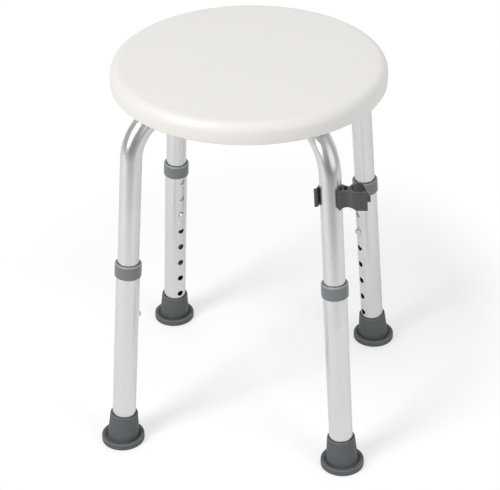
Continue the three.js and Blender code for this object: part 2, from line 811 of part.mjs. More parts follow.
// The hollows in the top of the web, where the moulding is cored out: a rectangle beside the cradle
// and a triangle beside the clip.
function corePockets() {
  const high = holderHeight / 2 + fitGap;
  const [left, front] = pocketCorner;
  const [right, back] = [left + pocketSize[0], front + pocketSize[1]];
  const side = left - pocketRib;
  return [
    [[left, front], [right, front], [right, back], [left, back]],
    [[side - narrowPocketSize[0], front], [side, front], [side, front + narrowPocketSize[1]]],
  ].map((outline) => slab(outline, high - pocketDepth, high));
}

// ---- assembly

const stool = new THREE.Group();
piece('seat_shell', seatShell(), whitePlastic, stool);
piece('centre_bolt', centreBolt(), steel, stool);
piece('centre_nut', centreNut(), steel, stool);

const frontLeftToRearRight = new THREE.Group();
frontLeftToRearRight.rotation.z = legs[0].azimuth;
piece('frame_tube_upper', frameTube(upperCrossing), aluminium, frontLeftToRearRight);

const frontRightToRearLeft = new THREE.Group();
frontRightToRearLeft.rotation.z = legs[1].azimuth;
piece('frame_tube_lower', frameTube(lowerCrossing), aluminium, frontRightToRearLeft);
stool.add(frontLeftToRearRight, frontRightToRearLeft);

for (const { name, azimuth } of legs) {
  const fastening = new THREE.Group();
  fastening.rotation.z = azimuth;
  fastening.position.set(screwPlace * Math.cos(azimuth), screwPlace * Math.sin(azimuth), 0);
  stool.add(fastening);
  piece(`seat_insert_${name}`, threadedInsert(), brass, fastening);
  piece(`seat_screw_${name}`, seatScrew(), steel, fastening);
  piece(`screw_knob_${name}`, screwKnob(), darkPlastic, fastening);
  piece(`saddle_washer_${name}`, saddleWasher(), darkPlastic, fastening);

  const ground = new THREE.Group();
  ground.rotation.z = azimuth;
  ground.position.set(footCircle * Math.cos(azimuth), footCircle * Math.sin(azimuth), 0);
  stool.add(ground);
  piece(`foot_${name}`, foot(), greyRubber, ground);

  const leg = new THREE.Group();
  leg.rotation.y = -legSplay;
  ground.add(leg);
  piece(`lower_tube_${name}`, lowerTube(), aluminium, leg);
  piece(`collar_${name}`, collar(), greyPlastic, leg);
  piece(`foot_washer_${name}`, footWasher(), steel, leg);
  piece(`snap_button_${name}`, snapButton(), steel, leg);
  piece(`snap_spring_${name}`, snapSpring(), steel, leg);

  if (name === 'front_right') {
    const clip = new THREE.Group();
    clip.position.z = holderStation;
    clip.rotation.z = holderTurn;
    leg.add(clip);
    piece('shower_holder', holder(), darkPlastic, clip);
  }
}

export default stool;
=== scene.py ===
# Round shower stool: a white blow-moulded seat on two crossed aluminium tubes, with four telescopic
# legs, spring buttons, grey collars, rubber feet and a clip-on holder for a hand shower.
# Shapes are worked out in millimetres and become metres, like the frame, when a mesh is made.
import json
import math
import bmesh
import bpy
import numpy as np
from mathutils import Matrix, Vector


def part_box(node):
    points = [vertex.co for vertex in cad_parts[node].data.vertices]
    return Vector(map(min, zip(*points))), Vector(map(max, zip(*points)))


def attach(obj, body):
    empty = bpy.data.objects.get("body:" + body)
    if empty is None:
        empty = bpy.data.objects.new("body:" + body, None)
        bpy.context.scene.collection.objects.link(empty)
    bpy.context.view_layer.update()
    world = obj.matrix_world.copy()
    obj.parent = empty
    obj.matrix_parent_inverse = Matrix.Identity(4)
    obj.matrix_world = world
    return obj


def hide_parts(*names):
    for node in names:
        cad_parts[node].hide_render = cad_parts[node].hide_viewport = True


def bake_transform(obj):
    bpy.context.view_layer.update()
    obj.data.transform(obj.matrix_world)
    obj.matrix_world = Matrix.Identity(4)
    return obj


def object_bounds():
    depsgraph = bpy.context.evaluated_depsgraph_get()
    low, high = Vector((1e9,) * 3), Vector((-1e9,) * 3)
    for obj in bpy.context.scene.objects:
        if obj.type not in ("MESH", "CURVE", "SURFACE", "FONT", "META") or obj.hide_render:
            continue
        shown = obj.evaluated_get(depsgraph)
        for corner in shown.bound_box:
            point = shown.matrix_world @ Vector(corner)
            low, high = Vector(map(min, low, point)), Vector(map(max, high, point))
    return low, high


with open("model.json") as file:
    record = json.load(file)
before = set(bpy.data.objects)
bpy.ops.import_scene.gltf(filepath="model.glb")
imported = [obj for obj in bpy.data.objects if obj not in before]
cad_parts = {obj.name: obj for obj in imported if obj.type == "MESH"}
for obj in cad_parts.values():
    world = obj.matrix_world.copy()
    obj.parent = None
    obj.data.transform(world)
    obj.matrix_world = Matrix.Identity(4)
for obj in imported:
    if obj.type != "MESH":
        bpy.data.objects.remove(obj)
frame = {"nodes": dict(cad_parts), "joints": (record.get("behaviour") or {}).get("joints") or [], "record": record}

mm = 0.001
fitGap = 0.3  # between pieces that rest on or in each other
cadLow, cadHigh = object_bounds()
legNames = ["front_left", "front_right", "rear_left", "rear_right"]


def newObject(name, data):
    # an object in the scene, at the origin
    made = bpy.data.objects.new(name, data)
    bpy.context.scene.collection.objects.link(made)
    return made


cameraPlace = dict(
    aim=(-1.7, 0.2, 209.5),  # mm, just under the middle of the stool
    distance=2151.8, azimuth=11.73, elevation=31.88, roll=-0.83,  # degrees, azimuth from the front
    lens=127.84, sensor=36,
)


def toward(azimuth, elevation):
    # the unit vector at an azimuth, counted from +X, and an elevation, in degrees
    turn, rise = math.radians(azimuth), math.radians(elevation)
    return np.array([math.cos(rise) * math.cos(turn), math.cos(rise) * math.sin(turn), math.sin(rise)])


def addCamera():
    place = cameraPlace
    data = bpy.data.cameras.new("camera")
    data.lens = place["lens"]
    data.sensor_width = place["sensor"]
    data.clip_end = 50
    camera = newObject("camera", data)
    back = toward(place["azimuth"] - 90, place["elevation"])
    camera.location = (np.array(place["aim"]) + place["distance"] * back) * mm
    # tilted from straight down, turned about Z, then rolled about its own line of sight
    camera.rotation_euler = np.radians([90 - place["elevation"], 0, place["azimuth"]])
    camera.rotation_euler.rotate_axis("Z", math.radians(place["roll"]))
    bpy.context.scene.camera = camera


# degrees, metres from the seat, width and height in metres, watts, and whether gloss shows the lamp
softboxes = dict(
    key=dict(azimuth=231, elevation=37, distance=3.0, width=0.95, height=3.4, power=75, inGloss=True),
    fill=dict(azimuth=328, elevation=18, distance=3.0, width=1.5, height=2.2, power=28, inGloss=False),
)


def addSoftboxes():
    for name, box in softboxes.items():
        data = bpy.data.lights.new(name, "AREA")
        data.shape = "RECTANGLE"
        data.size, data.size_y = box["width"], box["height"]
        data.energy = box["power"]
        lamp = newObject(name, data)
        seat = np.array([0, 0, cadHigh[2]])
        lamp.location = box["distance"] * toward(box["azimuth"], box["elevation"]) + seat
        lamp.rotation_euler = np.radians([90 - box["elevation"], 0, box["azimuth"] + 90])
        lamp.visible_camera = False
        lamp.visible_glossy = box["inGloss"]


class Wire:
    # a socket whose arithmetic adds Math nodes to its tree
    def __init__(self, tree, socket):
        self.tree = tree
        self.socket = socket

    def math(self, operation, first, second):
        return self.tree.add("Math", {0: first, 1: second}, operation=operation)

    def __add__(self, other):
        return self.math("ADD", self, other)

    def __radd__(self, other):
        return self.math("ADD", other, self)

    def __sub__(self, other):
        return self.math("SUBTRACT", self, other)

    def __rsub__(self, other):
        return self.math("SUBTRACT", other, self)

    def __mul__(self, other):
        return self.math("MULTIPLY", self, other)

    def __rmul__(self, other):
        return self.math("MULTIPLY", other, self)


class Tree:
    # a node tree; add() makes any node from its type, its inputs, the output wanted and its settings
    def __init__(self, tree):
        self.tree = tree

    def add(self, kind, inputs=None, output=0, **settings):
        node = self.tree.nodes.new("ShaderNode" + kind)
        for name, value in settings.items():
            if name == "stops":
                while len(node.color_ramp.elements) < len(value):
                    node.color_ramp.elements.new(1.0)
                for element, (place, colour) in zip(node.color_ramp.elements, value):
                    element.position = place
                    element.color = colour
            else:
                setattr(node, name, value)
        for name, value in (inputs or {}).items():
            self.put(node.inputs[name], value)
        return Wire(self, node.outputs[output]) if node.outputs else None

    def put(self, socket, value):
        if isinstance(value, Wire):
            self.tree.links.new(value.socket, socket)
        else:
            socket.default_value = value


def grey(level):
    return (level, level, level, 1.0)


def finish(name, colour, roughness, metallic=0.0, specular=0.5):
    # a material with its shader's plain values set; returns it, its tree and its shader
    material = bpy.data.materials.new(name)
    material.use_nodes = True
    shader = material.node_tree.nodes["Principled BSDF"]
    shader.inputs["Base Color"].default_value = (*colour, 1.0)
    shader.inputs["Roughness"].default_value = roughness
    shader.inputs["Metallic"].default_value = metallic
    shader.inputs["Specular IOR Level"].default_value = specular
    material.diffuse_color = (*colour, 1.0)
    return material, Tree(material.node_tree), shader


def noise(tree, place, scale, detail=2.0, roughness=0.5, stretch=(1, 1, 1)):
    # noise from 0 to 1 over a place vector, first stretched along its axes
    spread = tree.add("Mapping", {"Vector": place, "Scale": stretch})
    return tree.add("TexNoise", {
        "Vector": spread, "Scale": scale, "Detail": detail, "Roughness": roughness}, "Fac")


def between(tree, value, low, high, start=0.0, end=1.0):
    # value mapped from low..high to start..end and kept inside it
    return tree.add("MapRange", {
        "Value": value, "From Min": low, "From Max": high, "To Min": start, "To Max": end}, "Result")


def mixedColour(tree, amount, first, second):
    # amount 0 gives the first colour, 1 the second; either may be a link or three numbers
    first, second = (part if isinstance(part, Wire) else (*part, 1.0) for part in (first, second))
    return tree.add("Mix", {0: amount, 6: first, 7: second}, 2, data_type="RGBA")


def bump(tree, height, depth, before=None):
    # a Bump node whose full height is depth in metres
    inputs = {"Height": height, "Distance": depth, "Strength": 1.0}
    if before is not None:
        inputs["Normal"] = before
    return tree.add("Bump", inputs, "Normal")


def vary(tree, shader, colour, roughness, normal):
    # what changes over a surface
    tree.put(shader.inputs["Base Color"], colour)
    tree.put(shader.inputs["Roughness"], roughness)
    tree.put(shader.inputs["Normal"], normal)


def objectPlace(tree):
    return tree.add("TexCoord", output="Object")


# colours, roughness from its lowest to its highest, scales of the noise, depths of the bumps in metres
seatFinish = dict(
    colour=(0.79, 0.77, 0.742), shade=(0.77, 0.746, 0.712), roughness=(0.36, 0.47),
    cloud=9, speck=420, scuff=60, grain=1500, grainDepth=0.00003, wave=22, waveDepth=0.00025,
)


def whitePlastic():
    # a blow-moulded skin: cloudy and faintly specked, scuffed along Y, with a slow wave under its grain
    values = seatFinish
    material, tree, shader = finish("white plastic", values["colour"], values["roughness"][0])
    place = objectPlace(tree)
    cloud = noise(tree, place, values["cloud"], 3)
    speck = noise(tree, place, values["speck"], 2)
    scuff = noise(tree, place, values["scuff"], 5, 0.7, (1, 5, 1))
    wave = bump(tree, noise(tree, place, values["wave"], 1), values["waveDepth"])
    grain = bump(tree, noise(tree, place, values["grain"], 2), values["grainDepth"], wave)
    vary(
        tree, shader, mixedColour(tree, cloud * 0.75 + speck * 0.25, values["colour"], values["shade"]),
        between(tree, scuff, 0.35, 0.75, *values["roughness"]), grain)
    return material


tubeFinish = dict(
    colour=(0.77, 0.77, 0.77), haze=(0.7, 0.695, 0.7), roughness=(0.24, 0.36),
    streak=5200, streakLength=0.012, streakDepth=0.000006, cloud=70, cloudLength=0.35,
)


def aluminium():
    # satin metal with fine streaks drawn along the tube and a hazy oxide
    values = tubeFinish
    material, tree, shader = finish("satin aluminium", values["colour"], values["roughness"][0], 1.0)
    # a tube's own attribute: where a point is round and along the drawn tube, in metres
    place = tree.add("Attribute", output="Vector", attribute_name="along")
    streak = noise(tree, place, values["streak"], 3, 0.6, (1, 1, values["streakLength"]))
    haze = noise(tree, place, values["cloud"], 4, 0.6, (1, 1, values["cloudLength"]))
    vary(
        tree, shader, mixedColour(tree, haze * 0.6 + streak * 0.4, values["colour"], values["haze"]),
        between(tree, haze * 0.5 + streak * 0.5, 0.3, 0.7, *values["roughness"]),
        bump(tree, streak, values["streakDepth"]))
    return material


# a coloured moulding's colour, its dusty scuffs, a painted highlight on its upward-sloping edges if it has one,
# and its grain
collarFinish = dict(
    colour=(0.145, 0.161, 0.167), worn=(0.205, 0.219, 0.224), paintedHighlight=(0.29, 0.312, 0.317),
    roughness=0.4, specular=0.5, grain=1400, grainDepth=0.00004,
)
footFinish = dict(
    colour=(0.074, 0.082, 0.086), worn=(0.123, 0.131, 0.135), paintedHighlight=(0.15, 0.16, 0.165),
    roughness=0.62, specular=0.4, grain=900, grainDepth=0.00008,
)
holderFinish = dict(
    colour=(0.057, 0.053, 0.06), worn=(0.112, 0.104, 0.117), paintedHighlight=None,
    roughness=0.29, specular=0.5, grain=1300, grainDepth=0.00004,
)
mouldedPattern = dict(cloud=55, scuff=240)


def moulded(name, values):
    # fine grain, cloudy colour, dusty lighter scuffs, and a painted highlight: paler colour where a surface slopes
    # upwards
    material, tree, shader = finish(
        name, values["colour"], values["roughness"], specular=values["specular"])
    place = objectPlace(tree)
    cloud = noise(tree, place, mouldedPattern["cloud"], 4, 0.6)
    scuff = between(tree, noise(tree, place, mouldedPattern["scuff"], 5, 0.75), 0.55, 0.75)
    colour = mixedColour(tree, cloud * 0.45 + scuff * 0.35, values["colour"], values["worn"])
    if values["paintedHighlight"] is not None:
        # painted highlight: faces that slope upwards get a paler colour, standing in for light caught by upper
        # edges
        up = tree.add("SeparateXYZ", {"Vector": tree.add("NewGeometry", output="Normal")}, "Z")
        paintedHighlightMask = between(tree, up, 0.25, 0.55) * between(tree, up, 0.985, 0.9)
        colour = mixedColour(tree, paintedHighlightMask * (0.65 + cloud * 0.35), colour, values["paintedHighlight"])
    rough = values["roughness"]
    vary(
        tree, shader, colour, between(tree, cloud, 0.3, 0.7, rough - 0.06, rough + 0.08),
        bump(tree, noise(tree, place, values["grain"], 3), values["grainDepth"]))
    return material


steelFinish = dict(colour=(0.7, 0.71, 0.72), roughness=0.3)
brassFinish = dict(colour=(0.71, 0.58, 0.3), roughness=0.35)
metalPattern = dict(brushed=900, brushedLength=0.2, brushedDepth=0.00001, spots=260, dulled=0.8)


def smallMetal(name, values):
    # a turned or plated piece, faintly brushed across Z and spotted
    pattern = metalPattern
    material, tree, shader = finish(name, values["colour"], values["roughness"], 1.0)
    place = objectPlace(tree)
    brushed = noise(tree, place, pattern["brushed"], 3, 0.6, (1, 1, pattern["brushedLength"]))
    spots = noise(tree, place, pattern["spots"], 4, 0.6)
    dull = tuple(pattern["dulled"] * part for part in values["colour"])
    rough = values["roughness"]
    vary(
        tree, shader, mixedColour(tree, between(tree, spots, 0.4, 0.8), values["colour"], dull),
        between(tree, brushed * 0.6 + spots * 0.4, 0.3, 0.7, rough - 0.07, rough + 0.1),
        bump(tree, brushed, pattern["brushedDepth"]))
    return material


finishes = {  # by the record's material slots
    "seat_plastic": whitePlastic(),
    "aluminium": aluminium(),
    "collar_plastic": moulded("grey plastic", collarFinish),
    "foot_rubber": moulded("grey rubber", footFinish),
    "dark_plastic": moulded("dark plastic", holderFinish),
    "steel": smallMetal("plated steel", steelFinish),
    "brass": smallMetal("brass", brassFinish),
}
print("finishes made:", len(finishes))

floorFinish = dict(
    size=14,  # metres
    # a pale sheet that ends so many metres from the stool, at an azimuth, and the darker floor past it
    paper=(0.86, 0.86, 0.86), beyond=(0.3, 0.3, 0.3), paperEnd=(0.65, 1.0), endAzimuth=285,
    seen=(0.98, 0.98, 0.98),  # the sheet as the camera sees it
    glow=0.5, glowInGloss=0.15,  # share of plain white in what the camera and what metal see
    # metres over which the camera sees the floor turn plain white, from where, and the circle's scale
    fade=(0.28, 0.38), fadeCentre=(-0.03, 0.12, 0), fadeScale=(1, 0.8, 1),
)


def rays(tree, name):
    return tree.add("LightPath", output=name)


def dot(tree, place, direction):
    # how far a place vector reaches along a direction
    return tree.add("VectorMath", {0: place, 1: tuple(direction)}, "Value", operation="DOT_PRODUCT")


def emptied(owner):
    # the node tree of a material or a world, with nothing in it
    owner.use_nodes = True
    owner.node_tree.nodes.clear()
    return Tree(owner.node_tree)


def addFloor():
    # paper that keeps the stool's shadow, mixed with plain white for what the camera and metal see
    values = floorFinish
    material = bpy.data.materials.new("floor")
    tree = emptied(material)
    ahead = dot(tree, objectPlace(tree), toward(values["endAzimuth"], 0))
    past = between(tree, ahead, *values["paperEnd"])
    colour = mixedColour(tree, past, values["paper"], values["beyond"])
    colour = mixedColour(tree, rays(tree, "Is Camera Ray"), colour, values["seen"])
    lit = tree.add("BsdfDiffuse", {"Color": colour})
    white = tree.add("Emission", {"Color": grey(1.0), "Strength": 1.0})
    scaled = tree.add("Mapping", {"Vector": objectPlace(tree), "Scale": values["fadeScale"]})
    away = tree.add("VectorMath", {0: scaled, 1: values["fadeCentre"]}, "Value", operation="DISTANCE")
    seen = rays(tree, "Is Camera Ray") * between(tree, away, *values["fade"], values["glow"], 1.0)
    mirrored = rays(tree, "Is Glossy Ray") + rays(tree, "Is Transmission Ray")
    mirrored = mirrored * (1 - past) * values["glowInGloss"]
    surface = tree.add("MixShader", {0: seen + mirrored, 1: lit, 2: white})
    # the camera sees through the floor from below
    below = tree.add("NewGeometry", output="Backfacing") * rays(tree, "Is Camera Ray")
    surface = tree.add("MixShader", {0: below, 1: surface, 2: tree.add("BsdfTransparent")})
    tree.add("OutputMaterial", {"Surface": surface})
    half = values["size"] / 2
    corners = [(-half, -half, 0), (half, -half, 0), (half, half, 0), (-half, half, 0)]
    mesh = bpy.data.meshes.new("floor")
    mesh.from_pydata(corners, [], [(0, 1, 2, 3)])
    mesh.materials.append(material)
    newObject("floor", mesh)


room = dict(
    # brightness of the backdrop behind, the walls at the sides, the dim wall in front, the ceiling
    backdrop=1.0, sides=0.43, front=0.27, ceiling=0.57,
    # gloss shows a plain panel for the fill lamp: degrees from its middle to its outer and inner edge
    panelEdge=(34, 20), panelLevel=1.15,
)


def addRoom():
    # a backdrop behind, which camera and metal see white, dimmer walls round it, and a ceiling
    world = bpy.data.worlds.new("room")
    bpy.context.scene.world = world
    tree = emptied(world)
    direction = tree.add("TexCoord", output="Generated")
    back = tree.add("SeparateXYZ", {"Vector": direction}, "Y")
    height = tree.add("SeparateXYZ", {"Vector": direction}, "Z")
    walls = tree.add("ValToRGB", {"Fac": back * 0.5 + 0.5}, stops=[
        (0.0, grey(room["front"])), (0.2, grey(room["front"])), (0.4, grey(room["sides"])),
        (0.75, grey(room["sides"])), (0.9, grey(room["backdrop"])),
    ])
    colour = mixedColour(tree, between(tree, height, 0.3, 0.9), walls, grey(room["ceiling"])[:3])
    light = tree.add("Background", {"Color": colour, "Strength": 1.0})
    fill = softboxes["fill"]
    panel = dot(tree, direction, toward(fill["azimuth"], fill["elevation"]))
    panel = between(tree, panel, *(math.cos(math.radians(angle)) for angle in room["panelEdge"]))
    strength = rays(tree, "Is Glossy Ray") * panel * (room["panelLevel"] - 1) + 1
    white = tree.add("Background", {"Color": grey(1.0), "Strength": strength})
    behind = between(tree, back, 0.6, 0.8) + panel
    mirrored = (rays(tree, "Is Glossy Ray") + rays(tree, "Is Transmission Ray")) * behind
    surface = tree.add("MixShader", {0: rays(tree, "Is Camera Ray") + mirrored, 1: light, 2: white})
    tree.add("OutputWorld", {"Surface": surface})


addCamera()
addSoftboxes()
addFloor()
addRoom()
bpy.context.scene.view_settings.view_transform = "Standard"
print("camera and studio made")


def gridQuads(rows, columns):
    # corner numbers of each quad of a grid of points, row by row
    corner = np.arange(rows * columns).reshape(rows, columns)
    quads = np.stack([corner[:-1, :-1], corner[1:, :-1], corner[1:, 1:], corner[:-1, 1:]], axis=-1)
    return quads.reshape(-1, 4)


def together(*parts):
    # whole arrays of coordinates as one array of points
    return np.stack(np.broadcast_arrays(*parts), axis=-1)


def onRing(radius, turn, height):
    # (radius * cos turn, radius * sin turn, height)
    return together(radius * np.cos(turn), radius * np.sin(turn), height)


def smooth(mesh, sharp):
    # smooth shading, broken where two faces meet at more than so many degrees
    mesh.shade_smooth()
    mesh.set_sharp_from_angle(angle=math.radians(sharp))


def meshOf(name, sheets, alongs=None, sharp=35):
    # one mesh from sheets of points (rows, columns, 3) in millimetres, welded where they meet
    quads, start = [], 0
    for sheet in sheets:
        rows, columns = sheet.shape[:2]
        quads.append(gridQuads(rows, columns) + start)
        start += rows * columns
    points = np.concatenate([sheet.reshape(-1, 3) for sheet in sheets]) * mm
    quads = np.concatenate(quads)
    mesh = bpy.data.meshes.new(name)
    mesh.vertices.add(len(points))
    mesh.vertices.foreach_set("co", points.ravel())
    mesh.loops.add(quads.size)
    mesh.loops.foreach_set("vertex_index", quads.ravel())
    mesh.polygons.add(len(quads))
    mesh.polygons.foreach_set("loop_start", np.arange(0, quads.size, 4))
    mesh.update(calc_edges=True)
    if alongs is not None:
        layer = mesh.attributes.new("along", "FLOAT_VECTOR", "POINT")
        alongs = np.concatenate([along.reshape(-1, 3) for along in alongs]) * mm
        layer.data.foreach_set("vector", alongs.ravel())
    work = bmesh.new()
    work.from_mesh(mesh)
    bmesh.ops.remove_doubles(work, verts=work.verts, dist=2e-6)
    bmesh.ops.recalc_face_normals(work, faces=work.faces)
    work.to_mesh(mesh)
    work.free()
    smooth(mesh, sharp)
    return mesh


def newPiece(name, mesh, slotName, node):
    # a finished piece that stands for its CAD node
    mesh.materials.clear()
    mesh.materials.append(finishes[slotName])
    piece = newObject(name, mesh)
    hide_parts(node)
    return piece


def addPiece(name, mesh, body, slotName, node):
    # a finished piece that rides on one body
    piece = newPiece(name, mesh, slotName, node)
    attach(piece, body)
    return piece


def filleted(corners, steps=5, closed=False):
    # an outline of (x, y, radius) corners; each corner is an arc that touches both its sides
    corners = [np.array(corner, float) for corner in corners]
    outline = []
    for number, corner in enumerate(corners):
        point, radius = corner[:2], corner[2] if len(corner) > 2 else 0.0
        atEnd = not closed and number in (0, len(corners) - 1)
        if radius == 0 or atEnd:
            outline.append(point[None])
            continue
        before = corners[number - 1][:2] - point
        after = corners[(number + 1) % len(corners)][:2] - point
        before /= np.linalg.norm(before)
        after /= np.linalg.norm(after)
        halfAngle = 0.5 * math.acos(np.clip(before @ after, -1, 1))
        middle = before + after
        middle /= np.linalg.norm(middle)
        centre = point + middle * radius / math.sin(halfAngle)
        first = point + before * radius / math.tan(halfAngle) - centre
        last = point + after * radius / math.tan(halfAngle) - centre
        turn = math.atan2(first[0] * last[1] - first[1] * last[0], first @ last)
        angles = np.linspace(0, turn, steps + 1)[:, None]
        swung = first * np.cos(angles) + np.array([-first[1], first[0]]) * np.sin(angles)
        outline.append(centre + swung)
    return np.concatenate(outline)


def turned(profile, sides=72):
    # a profile of (radius, height) carried round Z
    profile = np.array(profile, float)
    return onRing(profile[:, :1], np.linspace(0, 2 * math.pi, sides + 1), profile[:, 1:])


def disc(radius, low, high, centre=(0, 0), topRadius=None, sides=96):
    # a solid disc or, with another radius at the top, a cone with its point cut off
    top = radius if topRadius is None else topRadius
    profile = [(0, low), (radius, low), (top, high), (0, high)]
    return meshOf("disc", [turned(profile, sides) + [*centre, 0]])


def prism(outline, low, high):
    # an outline in plan carried from one height to another, closed by a flat face at each end
    outline = np.array(outline, float)
    after = np.roll(outline, -1, axis=0)
    if np.sum(outline[:, 0] * after[:, 1] - after[:, 0] * outline[:, 1]) < 0:
        outline = outline[::-1]  # so that it runs anticlockwise
    count = len(outline)
    points = np.concatenate([
        np.column_stack([outline, np.full(count, height)]) for height in (low, high)])
    number = np.arange(count)
    after = np.roll(number, -1)
    sides = np.column_stack([number, after, after + count, number + count])
    ends = [number[::-1].tolist(), (number + count).tolist()]
    mesh = bpy.data.meshes.new("prism")
    mesh.from_pydata((points * mm).tolist(), [], [*sides.tolist(), *ends])
    return mesh


def movedMesh(mesh, place):
    # every point of a mesh sent through a function of points in millimetres
    points = np.empty(3 * len(mesh.vertices))
    mesh.vertices.foreach_get("co", points)
    mesh.vertices.foreach_set("co", (place(points.reshape(-1, 3) / mm) * mm).ravel())
    mesh.update()
    return mesh


def stoodUp(points):
    # a plan's Y becomes height and its thickness runs along -Y
    return points[:, [0, 2, 1]] * [1, -1, 1]


def strip(line, thickness):
    # a line in plan made as thick as a wall, half of it to each side
    ahead = np.gradient(line, axis=0)
    aside = together(-ahead[:, 1], ahead[:, 0]) / np.linalg.norm(ahead, axis=1)[:, None]
    return np.concatenate([line + aside * thickness / 2, (line - aside * thickness / 2)[::-1]])


def carve(mesh, cutter, operation="DIFFERENCE"):
    # mesh less (or with) the solid of another mesh
    body, tool = newObject("carved", mesh), newObject("cutter", cutter)
    change = body.modifiers.new("carve", "BOOLEAN")
    change.object = tool
    change.operation = operation
    change.solver = "MANIFOLD"
    graph = bpy.context.evaluated_depsgraph_get()
    made = bpy.data.meshes.new_from_object(body.evaluated_get(graph))
    bpy.data.objects.remove(body)
    bpy.data.objects.remove(tool)
    return made


def legPlace(name):
    # from the frame: the point under the foot, and two sets of directions outwards, aside and up, one
    # that stands straight on the floor and one that leans with the leg
    low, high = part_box(f"foot_{name}")
    foot = np.array([(low[0] + high[0]) / 2, (low[1] + high[1]) / 2, 0]) / mm
    outward = foot / np.linalg.norm(foot)
    slide = next(joint for joint in frame["joints"] if joint["name"] == f"leg_slide_{name}")
    up = -np.array(slide["axis"])
    aside = np.cross([0, 0, 1], outward)
    return foot, np.array([outward, aside, [0, 0, 1]]), np.array([np.cross(aside, up), aside, up])


def onLeg(points, name):
    # points given in a leg's leaning directions, from the point under its foot
    foot, _, leaning = legPlace(name)
    return foot + points @ leaning


# stations are distances up a leg from the point under its foot
legSize = dict(
    radius=14, wall=1.2, low=11.1, hole=4, holes=8, spacing=25.4, firstHole=47.1, aboveHoles=21,
    inUse=5,  # the hole that the button stands in, counted from 0 at the bottom
)
buttonStation = legSize["firstHole"] + legSize["inUse"] * legSize["spacing"]
legHigh = legSize["firstHole"] + (legSize["holes"] - 1) * legSize["spacing"] + legSize["aboveHoles"]

frameSize = dict(
    radius=12.5, wall=1.2, height=429.5, bendRadius=52.8, belowButton=24.8,
    flatHalfHeight=6, flatHalfWidth=17, flatReach=21, flatBlend=27, flatSquareness=0.45,
    screwHole=3.4, screwFromBend=4.6,
)


def frameTubePlaces():
    # the legs' lean, the bend's start up the leg, and its end and the seat screws' place from the middle
    radius = frameSize["bendRadius"]
    foot, _, leaning = legPlace("front_left")
    lean = math.acos(leaning[2][2])
    bendStart = (frameSize["height"] - radius * (1 - math.sin(lean))) / math.cos(lean)
    bendEnd = np.linalg.norm(foot) - bendStart * math.sin(lean) - radius * math.cos(lean)
    return lean, bendStart, bendEnd, bendEnd - frameSize["screwFromBend"]


legLean, bendStart, bendEnd, screwPlace = frameTubePlaces()
pressed = frameSize["flatHalfHeight"] + fitGap  # each tube's rise or drop at the crossing

seatSize = dict(
    radius=158.6, top=458, rim=27, upperReach=11, upperHeight=12, lowerReach=13.6, lowerHeight=4,
    channel=13.1, channelSlope=8, edgeSoft=0.8,  # mm of rounding where a channel meets the underside
    pocket=52, pocketTop=442.6, pocketWall=1.5, boltPocket=9, boltTop=446.9, boltWall=0.8,
    blowHole=3, blowHolePlace=92, blowHoleDepth=7,
)
seatUnder = seatSize["top"] - seatSize["rim"]
seatGrid = dict(
    roof=25, beside=(13.6, 15, 18),  # columns over a channel's roof, and beside it at so many mm
    apart=20,  # columns from one channel's fan to the next, both ends counted
    straight=54,  # within this radius the fans run straight inwards
    boltRings=5, innerRings=(12, 20, 30, 42, 49), pocketRings=8, middleRings=(56, 64, 74, 84, 94, 102),
    bendFrom=106, bendRings=34,  # closer rings where the channels follow the tubes' bends
    lowerSteps=9, upperSteps=18, topRings=9,
)


def softMax(first, second, soft):
    # the larger of two heights, rounded where they cross
    return first + soft * np.logaddexp(0, (second - first) / soft)


def undersideHeight(radius, aside):
    # the flat underside, raised into a round-roofed channel that follows each tube and its bend, a
    # round pocket over the crossing, and a smaller one over the bolt's head
    size, bendRadius = seatSize, frameSize["bendRadius"]
    beyond = np.abs(aside) - size["channel"]
    arch = np.sqrt(np.maximum(size["channel"] ** 2 - aside ** 2, 0))
    roof = np.where(beyond < 0, arch, -size["channelSlope"] * beyond)
    out = np.sqrt(np.maximum(radius ** 2 - aside ** 2, 0))
    past = np.clip(out - bendEnd, 0, bendRadius)
    arm = np.maximum(bendRadius + roof, 0)
    roof = frameSize["height"] - bendRadius + np.sqrt(np.maximum(arm ** 2 - past ** 2, 0))
    height = softMax(seatUnder, roof, size["edgeSoft"])
    inPocket = np.clip((size["pocket"] + size["pocketWall"] - radius) / size["pocketWall"], 0, 1)
    inPocket = inPocket * inPocket * (3 - 2 * inPocket)
    height = np.maximum(height, seatUnder + inPocket * (size["pocketTop"] - seatUnder))
    inBolt = np.clip((size["boltPocket"] + size["boltWall"] - radius) / size["boltWall"], 0, 1)
    return np.maximum(height, seatUnder + inBolt * (size["boltTop"] - seatUnder))


def seatAzimuths(radius):
    # columns of the seat's grid at each radius: a fan across each of the four channels, spaced round
    # its roof as channel * sin(lean), and an even spread from one fan to the next
    roof = seatSize["channel"] * np.sin(np.radians(np.linspace(-90, 90, seatGrid["roof"])))
    beside = np.array(seatGrid["beside"])
    fan = np.concatenate([-beside[::-1], roof, beside])
    swing = np.arcsin(fan[None, :] / np.maximum(radius, seatGrid["straight"])[:, None])
    share = np.linspace(0, 1, seatGrid["apart"])[None, 1:-1]
    gap = swing[:, -1:] + share * (math.pi / 2 - 2 * swing[:, -1:])
    quarter = np.concatenate([swing, gap], axis=1)
    whole = [quarter + math.pi / 4 + turn * math.pi / 2 for turn in range(4)]
    whole.append(swing[:, :1] + math.pi / 4 + 2 * math.pi)
    return np.concatenate(whole, axis=1)


def seatRings(radius, height):
    return onRing(radius[:, None], seatAzimuths(radius), height)


def seatRounding(reach, height, start, steps):
    # a quarter of an ellipse from the widest line to a flat face:
    # (radius - reach * (1 - cos lean), start + height * sin lean)
    lean = np.linspace(0, math.pi / 2, steps + 1)
    return seatSize["radius"] - reach * (1 - np.cos(lean)), start + height * np.sin(lean)


